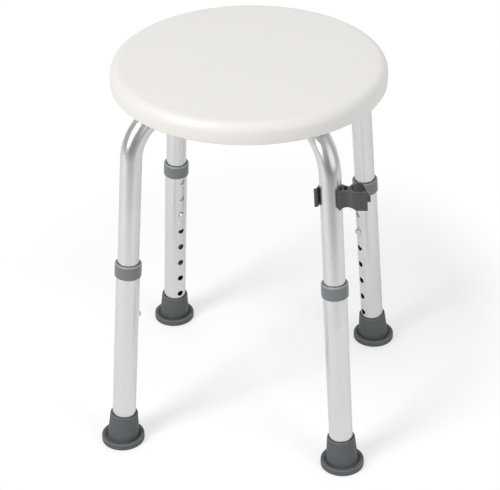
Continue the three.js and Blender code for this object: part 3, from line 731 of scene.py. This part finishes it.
def seatMesh():
    # rings round Z: the underside from its middle to the rim, the rim's two roundings, the flat top
    size, grid = seatSize, seatGrid
    bolt, pocket, edge = size["boltPocket"], size["pocket"], size["radius"] - size["lowerReach"]
    radius = np.concatenate([
        [0, 5, bolt - 0.4], np.linspace(bolt, bolt + size["boltWall"], grid["boltRings"]),
        grid["innerRings"],
        np.linspace(pocket - 0.4, pocket + size["pocketWall"] + 0.3, grid["pocketRings"]),
        grid["middleRings"], np.linspace(grid["bendFrom"], edge, grid["bendRings"]),
    ])
    turn = np.mod(seatAzimuths(radius), math.pi / 2) - math.pi / 4
    underside = seatRings(radius, undersideHeight(radius[:, None], radius[:, None] * np.sin(turn)))
    underside[-1, :, 2] = seatUnder  # the channels end where the rim's rounding starts
    lowRadius, lowHeight = seatRounding(
        size["lowerReach"], -size["lowerHeight"], seatUnder + size["lowerHeight"], grid["lowerSteps"])
    highRadius, highHeight = seatRounding(
        size["upperReach"], size["upperHeight"], size["top"] - size["upperHeight"], grid["upperSteps"])
    side = np.concatenate([lowRadius[::-1], highRadius])
    sideHeight = np.concatenate([lowHeight[::-1], highHeight])
    flat = np.linspace(size["radius"] - size["upperReach"], 0, grid["topRings"])
    mesh = meshOf("seat", [
        underside, seatRings(side, sideHeight[:, None]), seatRings(flat, size["top"])], sharp=50)
    hole = disc(
        size["blowHole"], seatUnder - 1, seatUnder + size["blowHoleDepth"],
        (0, size["blowHolePlace"]), sides=32)
    mesh = carve(mesh, hole)
    smooth(mesh, 50)
    return mesh


addPiece("seat", seatMesh(), "stool", "seat_plastic", "seat_shell")
print("seat made")

tubeGrid = dict(
    sideCells=20,  # round each flank, between the two lines that carry holes
    holeCells=8, holeRings=3,  # along a side of the square round a hole, and from the hole to it
    holeMargin=2.4, clear=0.5,  # mm from a hole to its square, and from the square to the next ring
    flatRings=19, levelRings=5, bendRings=25, legRings=12,  # along half a frame tube, from its middle
    lowerRings=19,  # along a lower tube
)


def squareLoop(cells):
    # points round a square from -1 to 1, corner to corner, with so many cells a side
    side = np.linspace(-1, 1, cells + 1)[:-1]
    one = np.ones(cells)
    first = np.concatenate([side, one, -side, -one, side[:1]])
    second = np.concatenate([-one, side, one, -side, -one[:1]])
    return first, second


def boredTube(name, surface, across, marks, holes, wall):
    # A closed tube wall. surface(station, turn, inset) gives its points and across(station, distance,
    # inset) the turn at a distance beside the line where turn is 0. Each hole is (station, turn,
    # radius), on the line where turn is 0 or pi. Round it the wall is a ring of cells from a circle to
    # a square: (1 - share) * circle + share * square.
    cells = tubeGrid["holeCells"]
    margin = max(radius for _, _, radius in holes) + tubeGrid["holeMargin"]
    for station, _, _ in holes:
        marks = marks[np.abs(marks - station) > margin + tubeGrid["clear"]]
        marks = np.concatenate([marks, np.linspace(station - margin, station + margin, cells + 1)])
    marks = np.unique(marks.round(5))
    half = abs(float(across(marks[0], margin, 0)))
    stripTurns = np.linspace(-half, half, cells + 1)
    sideTurns = np.linspace(half, math.pi - half, tubeGrid["sideCells"] + 1)
    first, second = squareLoop(cells)
    around = np.arctan2(second, first)
    share = np.linspace(0, 1, tubeGrid["holeRings"] + 1)[:, None]
    sheets, alongs = [], []

    def lay(station, turn, inset):
        station, turn, inset = np.broadcast_arrays(station, turn, inset)
        sheets.append(surface(station, turn, inset))
        alongs.append(onRing(frameSize["radius"], turn, station))

    for inset in (0.0, wall):
        for line in (0.0, math.pi):
            start = marks[0]
            for station, _, radius in sorted(hole for hole in holes if hole[1] == line):
                rows = marks[(marks >= start - 1e-4) & (marks <= station - margin + 1e-4)]
                if len(rows) > 1:
                    lay(rows[:, None], line + stripTurns[None, :], inset)
                circle = across(station, radius * np.sin(around), inset)
                along = (1 - share) * radius * np.cos(around) + share * margin * first
                aside = (1 - share) * circle + share * half * second
                lay(station + along, line + aside, inset)
                start = station + margin
            rows = marks[marks >= start - 1e-4]
            if len(rows) > 1:
                lay(rows[:, None], line + stripTurns[None, :], inset)
            lay(marks[:, None], line + sideTurns[None, :], inset)
    # the holes' walls, then the tube's two ends
    insets = np.array([[0.0], [wall]])
    for station, line, radius in holes:
        aside = np.stack([across(station, radius * np.sin(around), inset) for inset in (0.0, wall)])
        lay(station + radius * np.cos(around)[None, :], line + aside, insets)
    whole = np.concatenate([
        stripTurns, sideTurns[1:], math.pi + stripTurns[1:], math.pi + sideTurns[1:]])
    for station in (marks[0], marks[-1]):
        lay(np.array([[station]]), whole[None, :], insets)
    return meshOf(name, sheets, alongs, 40)


def frameTubeMesh(name, legName, crossing):
    # An oval section, height * |cos turn| ** squareness by width * |sin turn| ** squareness, carried
    # along the tube's path: level from the middle, round the bend, then straight down the leg.
    size, grid = frameSize, tubeGrid
    _, standing, _ = legPlace(legName)
    bendAngle = math.pi / 2 - legLean
    legStart = bendEnd + size["bendRadius"] * bendAngle  # along the tube, from its middle
    button = legStart + bendStart - buttonStation
    end = button + size["belowButton"]

    def section(station):
        # half height, half width, squareness and rise, eased from the round tube to the pressed crossing
        share = (size["flatReach"] + size["flatBlend"] - np.abs(station)) / size["flatBlend"]
        share = np.clip(share, 0, 1)
        flat = share * share * (3 - 2 * share)
        return (
            size["radius"] + flat * (size["flatHalfHeight"] - size["radius"]),
            size["radius"] + flat * (size["flatHalfWidth"] - size["radius"]),
            1 - size["flatSquareness"] * flat,
            flat * (crossing - size["height"]),
        )

    def surface(station, turn, inset):
        # stations run from one lower end through the middle, 0, to the other lower end
        reach, side = np.abs(station), np.sign(station)
        bend = np.clip((reach - bendEnd) / size["bendRadius"], 0, bendAngle)
        past = np.maximum(reach - legStart, 0)
        halfHeight, halfWidth, squareness, rise = section(station)
        above = (halfHeight - inset) * np.sign(np.cos(turn)) * np.abs(np.cos(turn)) ** squareness
        beside = (halfWidth - inset) * np.sign(np.sin(turn)) * np.abs(np.sin(turn)) ** squareness
        out = np.minimum(reach, bendEnd) + (size["bendRadius"] + above) * np.sin(bend)
        out = side * (out + past * math.sin(legLean))
        up = size["height"] - size["bendRadius"] + (size["bendRadius"] + above) * np.cos(bend)
        up = up - past * math.cos(legLean) + rise
        return together(out, beside, up) @ standing

    def across(station, distance, inset):
        _, halfWidth, squareness, _ = section(station)
        part = np.clip(np.abs(distance) / (halfWidth - inset), 0, 1)
        return np.sign(distance) * np.arcsin(part ** (1 / squareness))

    flatEnd = size["flatReach"] + size["flatBlend"]
    half = np.concatenate([
        np.linspace(0, flatEnd, grid["flatRings"]),
        np.linspace(flatEnd, bendEnd, grid["levelRings"])[1:-1],
        np.linspace(bendEnd, legStart, grid["bendRings"]),
        np.linspace(legStart, end, grid["legRings"])[1:],
    ])
    marks = np.concatenate([-half[::-1], half[1:]])
    holes = [(side * button, math.pi, legSize["hole"]) for side in (-1, 1)]
    for station in (-screwPlace, 0.0, screwPlace):
        holes += [(station, turn, size["screwHole"]) for turn in (0.0, math.pi)]
    return boredTube(name, surface, across, marks, holes, size["wall"])


for which, legName, side in (("upper", "front_left", 1), ("lower", "front_right", -1)):
    tube = frameTubeMesh(f"{which} frame tube", legName, frameSize["height"] + side * pressed)
    addPiece(f"{which}_frame_tube", tube, "stool", "aluminium", f"frame_tube_{which}")
print("frame tubes made")


def lowerTubeMesh(name):
    # a plain tube up the leg: (radius * cos turn, radius * sin turn, station) along its directions
    size = legSize

    def surface(station, turn, inset):
        return onLeg(onRing(size["radius"] - inset, turn, station), name)

    def across(station, distance, inset):
        return np.arcsin(distance / (size["radius"] - inset))

    marks = np.linspace(size["low"], legHigh, tubeGrid["lowerRings"])
    holes = [
        (size["firstHole"] + number * size["spacing"], math.pi, size["hole"])
        for number in range(size["holes"])]
    return boredTube(f"lower tube {name}", surface, across, marks, holes, size["wall"])


collarSize = dict(
    bore=14.3, outside=15.7, neck=12.8, cover=14.9, lip=2.5,
    upperEdge=1.7, lowerEdge=0.7, crest=0.4, funnel=0.8,
)


def collarMesh(name):
    # a turned sleeve with a broken upper edge and a lip whose top slopes down to the upper tube
    size = collarSize
    bore, outside, neck = size["bore"], size["outside"], size["neck"]
    low = legHigh - size["cover"]
    lip = legHigh + fitGap
    top = lip + size["lip"]
    crest = outside - size["upperEdge"]
    profile = filleted([
        (bore, low), (outside - size["lowerEdge"], low, 0.4), (outside, low + size["lowerEdge"], 0.5),
        (outside, top - size["upperEdge"], 0.4), (crest, top, 0.35), (crest - size["crest"], top, 0.2),
        (neck, top - size["funnel"], 0.2), (neck, lip), (bore, lip), (bore, low),
    ])
    return meshOf(f"collar {name}", [onLeg(turned(profile), name)])


footSize = dict(
    radius=25.9, rim=8.3, crease=3.6, creaseWidth=2.2, socket=14.3, floor=9.0,
    sleeveBase=19, sleeveTop=16.6, top=39,
    treads=4, treadDepth=1.2, treadStart=9, treadMargin=4, treadSlope=0.25,
    leanFrom=4, leanOver=4,  # height where the base's rings start to lean with the leg, and over how much
)


def footMesh(name):
    # Rings from the middle of the sole out, up over the rim, up the sleeve and down into the socket.
    # Each ring has a lean from 0, flat on the floor, to the leg's own, which turns it about the aside
    # direction: (x cos lean - z sin lean, x sin lean + z cos lean).
    size = footSize
    base, rim = size["sleeveBase"], size["rim"]
    foot, standing, _ = legPlace(name)
    edges = np.linspace(size["treadStart"], size["radius"] - size["treadMargin"], 2 * size["treads"])
    sole = [(0, 0)]
    for number, edge in enumerate(edges):
        low, high = (0, size["treadDepth"]) if number % 2 == 0 else (size["treadDepth"], 0)
        sole += [(edge - size["treadSlope"], low), (edge + size["treadSlope"], high)]
    flange = filleted([
        (size["radius"] - size["treadMargin"], 0), (size["radius"], 0, 1.5), (size["radius"], rim, 1.5),
        (base + size["creaseWidth"], rim - 0.2, 1), (base, rim - size["crease"], 0.3), (base, rim + 1),
    ])
    sleeve = filleted([
        (base, rim + 1), (size["sleeveTop"], size["top"], 1.2), (size["socket"], size["top"], 0.3),
        (size["socket"], size["floor"]), (0, size["floor"]),
    ])
    profile = turned(np.concatenate([sole, flange, sleeve[1:]]))
    flangeLean = np.clip((flange[:, 1] - size["leanFrom"]) / size["leanOver"], 0, 1)
    flangeLean *= flange[:, 0] < base + 1  # only beside the sleeve
    lean = np.concatenate([np.zeros(len(sole)), flangeLean, np.ones(len(sleeve) - 1)])[:, None] * legLean
    x = profile[..., 0] * np.cos(lean) - profile[..., 2] * np.sin(lean)
    z = profile[..., 0] * np.sin(lean) + profile[..., 2] * np.cos(lean)
    return meshOf(f"foot {name}", [foot + together(x, profile[..., 1], z) @ standing], sharp=40)


buttonSize = dict(radius=3.7, flange=5.2, flangeThickness=1.2, shoulder=9.73, tip=18.5, round=2.2)


def buttonMesh(name):
    # a turned pin that points at the middle of the stool; its end is half an ellipse:
    # (radius * cos lean, round * sin lean) above the shank
    size = buttonSize
    shoulder, domeStart = size["shoulder"], size["tip"] - size["round"]
    low = shoulder - size["flangeThickness"]
    lean = np.linspace(0, math.pi / 2, 9)
    dome = together(size["radius"] * np.cos(lean), domeStart + size["round"] * np.sin(lean))
    shank = filleted([
        (0, low), (size["flange"], low, 0.2), (size["flange"], shoulder, 0.2),
        (size["radius"], shoulder), (size["radius"], domeStart),
    ])
    pin = turned(np.concatenate([shank, dome[1:]]), 32)
    points = together(-pin[..., 2], pin[..., 1], pin[..., 0] + buttonStation)
    return meshOf(f"button {name}", [onLeg(points, name)])


springSize = dict(thickness=1, width=9, front=7.73, back=9.27, foot=9, length=38, tip=2, corner=2.5)


def springMesh(name):
    # a strip bent into a V: its line in plan, as thick as the steel, carried across its width
    size = springSize
    tip, length, corner = size["tip"], size["length"], size["corner"]
    line = filleted([
        (-size["front"], -size["foot"]), (-size["front"], size["foot"], corner),
        (-tip, length - tip, corner), (tip, length - tip, corner),
        (size["back"], size["foot"], corner), (size["back"], -size["foot"]),
    ])
    mesh = prism(strip(line, size["thickness"]), -size["width"] / 2, size["width"] / 2)
    movedMesh(mesh, lambda points: onLeg(stoodUp(points) + [0, 0, buttonStation], name))
    mesh.name = f"spring {name}"
    smooth(mesh, 30)
    return mesh


for name in legNames:
    leg, button = f"leg_{name}", f"button_{name}"
    addPiece(f"lower_tube_of_{name}", lowerTubeMesh(name), leg, "aluminium", f"lower_tube_{name}")
    addPiece(f"collar_of_{name}", collarMesh(name), leg, "collar_plastic", f"collar_{name}")
    addPiece(f"foot_of_{name}", footMesh(name), leg, "foot_rubber", f"foot_{name}")
    addPiece(f"button_of_{name}", buttonMesh(name), button, "steel", f"snap_button_{name}")
    spring = newPiece(f"spring_of_{name}", springMesh(name), "steel", f"snap_spring_{name}")
    # the ends of the arm behind the button are worked out, but nothing here moves that arm with the button; the
    # whole spring stays
    arm = springSize["thickness"] / 2 - springSize["front"]
    start, end = onLeg(np.array([[0, 0, buttonStation], [arm, 0, buttonStation]]), name) * mm
    tuple(start)
    tuple(end)
    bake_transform(spring)
print("legs made")

saddleSize = dict(height=2.6, width=18, length=13, wing=2.6, edge=1.2)
knobSize = dict(
    radius=7.5, height=10, flange=1.4, waist=0.9, chamfer=1.2, flutes=12, fluteDepth=0.7,
    floor=1.5, domeRadius=4.4, domeHeight=3.7, bore=3.3,
)
screwSize = dict(shank=3, point=1, head=4.8, headHeight=4, faceInset=0.3, faceChamfer=0.7, tip=451.9)
knobHigh = frameSize["height"] - frameSize["radius"] - saddleSize["height"] - fitGap


def atScrew(points, name):
    # a piece drawn round Z with X along its tube, moved to a leg's seat screw
    _, standing, _ = legPlace(name)
    return (points + [screwPlace, 0, 0]) @ standing


def hexagonal(profile, flats):
    # a turned profile whose radius is held inside a hexagon: flats / cos of the turn from a flat
    points = turned(profile)
    turn = np.arctan2(points[..., 1], points[..., 0])
    fromFlat = np.mod(turn + math.pi / 6, math.pi / 3) - math.pi / 6
    radius = np.hypot(points[..., 0], points[..., 1])
    held = np.minimum(radius, flats / np.cos(fromFlat))
    points[..., :2] *= (held / np.maximum(radius, 1e-9))[..., None]
    return points


def saddleMesh(name):
    # a block hollowed to the tube, hollow * (sin lean, -cos lean), with rounded long edges and a hole
    size, radius, height = saddleSize, frameSize["radius"], frameSize["height"]
    low, high = -radius - size["height"], size["wing"] - radius
    hollow = radius + fitGap
    reach = math.acos(-high / hollow)
    lean = np.linspace(-reach, reach, 17)
    roof = together(hollow * np.sin(lean), -hollow * np.cos(lean))
    half = size["width"] / 2
    base = filleted([(half, high), (half, low, size["edge"]), (-half, low, size["edge"]), (-half, high)])
    block = prism(np.concatenate([roof, base]), -size["length"] / 2, size["length"] / 2)
    movedMesh(block, lambda points: points[:, [2, 0, 1]] + [0, 0, height])
    mesh = carve(block, disc(frameSize["screwHole"], height - 20, height + 20, sides=32))
    smooth(mesh, 35)
    return movedMesh(mesh, lambda points: atScrew(points, name))


def knobMesh(name):
    # a turned knob with a domed end, its grip drawn in by a row of flutes:
    # depth * ((1 + cos(flutes * turn)) / 2) ** 2
    size, waist, high = knobSize, knobSize["waist"], knobHigh
    low, flange = high - size["height"], high - size["flange"]
    recess = screwSize["head"] + fitGap
    recessLow = low + size["floor"]
    recessTop = recessLow + screwSize["headHeight"] + 2 * fitGap
    lean = np.linspace(0, math.pi / 2, 9)
    dome = together(size["domeRadius"] * np.sin(lean), low - size["domeHeight"] * np.cos(lean))
    grip = filleted([
        (size["domeRadius"], low), (size["radius"], low, size["chamfer"]),
        (size["radius"], flange - 2 * waist, 0.4), (size["radius"] - waist, flange - waist, 0.5),
        (size["radius"], flange, 0.3), (size["radius"], high, 0.3), (size["bore"], high),
        (size["bore"], recessTop), (recess, recessTop), (recess, recessLow), (0, recessLow),
    ])
    points = turned(np.concatenate([dome, grip[1:]]), 144)
    radius = np.hypot(points[..., 0], points[..., 1])
    turn = np.arctan2(points[..., 1], points[..., 0])
    # the flutes fade in over a millimetre under the waist and stay out of the recess
    held = np.clip(flange - 1.5 * waist - points[..., 2], 0, 1) * (radius > recess + 0.2)
    flute = size["fluteDepth"] * (0.5 + 0.5 * np.cos(size["flutes"] * turn)) ** 2 * held
    points[..., :2] *= (1 - flute / np.maximum(radius, 1e-9))[..., None]
    return meshOf(f"knob {name}", [atScrew(points, name)], sharp=45)


def seatScrewMesh(name):
    # a hexagon head chamfered round its face, and a turned shank with a pointed tip
    size = screwSize
    low = knobHigh - knobSize["height"] + knobSize["floor"] + fitGap
    high = low + size["headHeight"]
    flats = size["head"] * math.cos(math.pi / 6)
    head = hexagonal([
        (0, low), (flats - size["faceInset"], low), (size["head"], low + size["faceChamfer"]),
        (size["head"], high), (size["shank"], high)], flats)
    shank = turned([
        (size["shank"], high), (size["shank"], size["tip"] - size["point"]),
        (size["shank"] - size["point"], size["tip"]), (0, size["tip"])])
    return meshOf(f"seat screw {name}", [atScrew(head, name), atScrew(shank, name)], sharp=25)


boltSize = dict(head=6, headHeight=3.6, rim=1.4, roundness=0.8, shank=3, chamfer=1, tail=1.5)
nutSize = dict(radius=5.8, height=5, bore=3.3, faceInset=0.2, faceChamfer=0.7)


def boltMesh():
    # a low domed head over the upper tube, (head * cos(lean) ** roundness, dome * sin lean) above its
    # rim, a plain shank and a chamfered end
    size = boltSize
    seat = frameSize["height"] + 2 * pressed
    tip = frameSize["height"] - 2 * pressed - nutSize["height"] - size["tail"]
    lean = np.linspace(0, math.pi / 2, 8)
    rise = seat + size["rim"] + (size["headHeight"] - size["rim"]) * np.sin(lean)
    dome = together(size["head"] * np.cos(lean) ** size["roundness"], rise)
    shank = [
        (0, tip), (size["shank"] - size["chamfer"], tip), (size["shank"], tip + size["chamfer"]),
        (size["shank"], seat), (size["head"], seat)]
    return meshOf("centre bolt", [turned(np.concatenate([shank, dome]))])


def nutMesh():
    # a hexagon with its corners turned off top and bottom
    size, corner, bore = nutSize, nutSize["radius"], nutSize["bore"]
    high = frameSize["height"] - 2 * pressed
    low = high - size["height"]
    flats = corner * math.cos(math.pi / 6)
    face, chamfer = flats - size["faceInset"], size["faceChamfer"]
    profile = [
        (bore, low), (face, low), (corner, low + chamfer), (corner, high - chamfer), (face, high),
        (bore, high), (bore, low),
    ]
    return meshOf("centre nut", [hexagonal(profile, flats)], sharp=25)


for name in legNames:
    addPiece(f"saddle_of_{name}", saddleMesh(name), "stool", "dark_plastic", f"saddle_washer_{name}")
    addPiece(f"knob_of_{name}", knobMesh(name), "stool", "dark_plastic", f"screw_knob_{name}")
    addPiece(f"seat_screw_of_{name}", seatScrewMesh(name), "stool", "steel", f"seat_screw_{name}")
addPiece("crossing_bolt", boltMesh(), "stool", "steel", "centre_bolt")
addPiece("crossing_nut", nutMesh(), "stool", "steel", "centre_nut")
print("fasteners made")


def ringPoint(radius, degrees):
    # a point in plan on a circle round the leg
    return radius * np.array([math.cos(math.radians(degrees)), math.sin(math.radians(degrees))])


def box(left, front, right, back):
    # a rectangle in plan
    return [(left, front), (right, front), (right, back), (left, back)]


# drawn with the leg's tube round Z, X from it to the cradle and Y to the back, then turned on the leg
holderSize = dict(
    belowBend=25, height=22, turn=56.8,  # degrees from the leg's outward direction
    clipWall=1.6, clipGap=0.4, jaw=300, armRoot=150,  # degrees round the clip, from X
    armReach=(-4.3, -10.3), lipReach=(-3.2, -1.2), kneeRound=1.6,
    jawRise=2.7, jawBase=1.2, jawLength=5, webRoot=19,
    cradle=(32.5, -6.3), cradleWall=2.4, cradleTop=10.6, cradleBottom=9.3, cradleMouth=15,
    frontReach=6.6, backReach=11.2, slopeReach=8.2, slopeDrop=15.5,
    frontRise=9.5, dipStart=1.2, dipWidth=16, dipDepth=1.9,
    archHeight=3.3, archInset=2.3,
    pocketDepth=16, pocketCorner=(14, -9.6), pocketSize=(4.2, 8.4), pocketRib=1.4,
    narrowPocket=(3, 6), pocketRound=0.4,
    edge=0.45,
)
half = holderSize["height"] / 2
cupX, cupY = holderSize["cradle"]
cupOutside = holderSize["cradleTop"] + holderSize["cradleWall"]
clipBore = frameSize["radius"] + holderSize["clipGap"]
clipOutside = clipBore + holderSize["clipWall"]
plateStart = ringPoint(clipOutside, holderSize["jaw"]) - [0, holderSize["jawRise"]]
plateEnd = cupX + holderSize["frontReach"]
far = 2 * clipOutside  # for cutters that reach past the clip


def onPlate(along, depth):
    # distances along the front plate's face and behind it, as points in plan
    rise = math.radians(holderSize["frontRise"])
    return plateStart + together(
        along * math.cos(rise) + depth * math.sin(rise),
        depth * math.cos(rise) - along * math.sin(rise))


def plateOutline():
    # a straight plate whose face dips by one wave of a cosine: depth * (1 - cos(360 degrees * share)) / 2
    size, wall = holderSize, holderSize["cradleWall"]
    share = np.linspace(0, 1, 33)
    dip = size["dipDepth"] * (1 - np.cos(2 * math.pi * share)) / 2
    length = (plateEnd - plateStart[0]) / math.cos(math.radians(size["frontRise"]))
    along = [[0], size["dipStart"] + share * size["dipWidth"], [length, length, size["jawLength"], 0]]
    depth = [[0], dip, [0, wall, wall, size["jawRise"] + size["jawBase"]]]
    return onPlate(np.concatenate(along), np.concatenate(depth))


def armOutline():
    # the clip's other jaw: a bent strip that starts inside the ring's wall
    size, wall = holderSize, holderSize["clipWall"]
    root = ringPoint(clipOutside - wall / 2, size["armRoot"] - math.degrees(wall / clipOutside))
    knee = root + size["armReach"]
    line = filleted([tuple(root), (*knee, size["kneeRound"]), tuple(knee + size["lipReach"])], steps=8)
    return strip(line, wall)


def webOutline():
    # four corners: two just inside the front plate's back, the cup's side, the middle of the clip's wall
    size = holderSize
    along = np.array([size["jawLength"] / 2, size["dipStart"] + size["dipWidth"]])
    return [
        *onPlate(along, 0.9 * size["cradleWall"]),
        (cupX - size["cradleTop"], cupY + size["cradleMouth"] / 4),
        ringPoint((clipBore + clipOutside) / 2, size["webRoot"]),
    ]


def pockets():
    # two hollows sunk into the web: a rectangle and, past a rib, a smaller triangle
    size = holderSize
    left, front = size["pocketCorner"]
    right = left - size["pocketRib"]
    (wide, deep), (narrow, short) = size["pocketSize"], size["narrowPocket"]
    outlines = (
        box(left, front, left + wide, front + deep),
        ((right - narrow, front), (right, front), (right, front + short)),
    )
    rounded = [
        filleted([(*corner, size["pocketRound"]) for corner in outline], closed=True)
        for outline in outlines]
    return [prism(outline, half - size["pocketDepth"], half + 2) for outline in rounded]


def slopeCutter():
    # what is cut from the back plate's far upper corner: an outline in X and height, carried through it
    size = holderSize
    right, low = cupX + size["backReach"], half - size["slopeDrop"]
    left = right - size["slopeReach"]
    outline = [(left, half), (right, low), (right + 2, low), (right + 2, half + 2), (left, half + 2)]
    return movedMesh(prism(outline, -cupY - 2 * cupOutside, -cupY), stoodUp)


def archCutter():
    # a disc stood up and stretched, which leaves half an ellipse in the front plate's lower edge
    size = holderSize
    left = plateStart[0] + size["archInset"]
    right = cupX - size["cradleBottom"] + size["archInset"]
    stretch = [(right - left) / 2, 1, size["archHeight"]]
    return movedMesh(
        disc(1, -cupY, 2 * cupOutside),
        lambda points: stoodUp(points) * stretch + [(left + right) / 2, 0, -half])


def holderMesh():
    # an open ring, joined with its arm, the front plate, the cup, the back plate and the web; then the
    # tube's bore, the cradle's cone and mouth, the front plate's end, and the cutters above
    size, wall, mouth = holderSize, holderSize["cradleWall"], holderSize["cradleMouth"] / 2
    opening = [(0, 0), ringPoint(far, size["armRoot"]), (-far, -far), ringPoint(far, size["jaw"])]
    mesh = carve(disc(clipOutside, -half, half), prism(opening, -far, far))
    for solid in (
        prism(armOutline(), -half, half),
        prism(plateOutline(), -half, half),
        disc(cupOutside, -half, half, size["cradle"]),
        prism(box(cupX, cupY + mouth, cupX + size["backReach"], cupY + mouth + wall), -half, half),
        prism(webOutline(), -half, half),
    ):
        mesh = carve(mesh, solid, "UNION")
    for solid in (
        disc(clipBore, -far, far),
        disc(size["cradleBottom"], -half - fitGap, half + fitGap, size["cradle"], size["cradleTop"]),
        prism(box(cupX, cupY - mouth, cupX + 2 * cupOutside, cupY + mouth), -far, far),
        prism(box(plateEnd, cupY - far, plateEnd + far, cupY), -far, far),
        *pockets(), slopeCutter(), archCutter(),
    ):
        mesh = carve(mesh, solid)
    turn = math.radians(size["turn"])
    spin = np.array([
        [math.cos(turn), math.sin(turn), 0], [-math.sin(turn), math.cos(turn), 0], [0, 0, 1]])
    station = np.array([0, 0, bendStart - size["belowBend"]])
    movedMesh(mesh, lambda points: onLeg(points @ spin + station, "front_right"))
    smooth(mesh, 35)
    return mesh


holder = addPiece("hand_shower_holder", holderMesh(), "holder", "dark_plastic", "shower_holder")
edges = holder.modifiers.new("edges", "BEVEL")
edges.width = holderSize["edge"] * mm
edges.segments = 2
edges.limit_method = "ANGLE"
edges.angle_limit = math.radians(40)
print("holder made")

# CAD pieces that stay as they are get the better finishes too
for part in frame["record"]["subparts"]:
    node = frame["nodes"][part["node"]]
    if not node.hide_render:
        node.data.materials.clear()
        node.data.materials.append(finishes[part["material_slot"]])
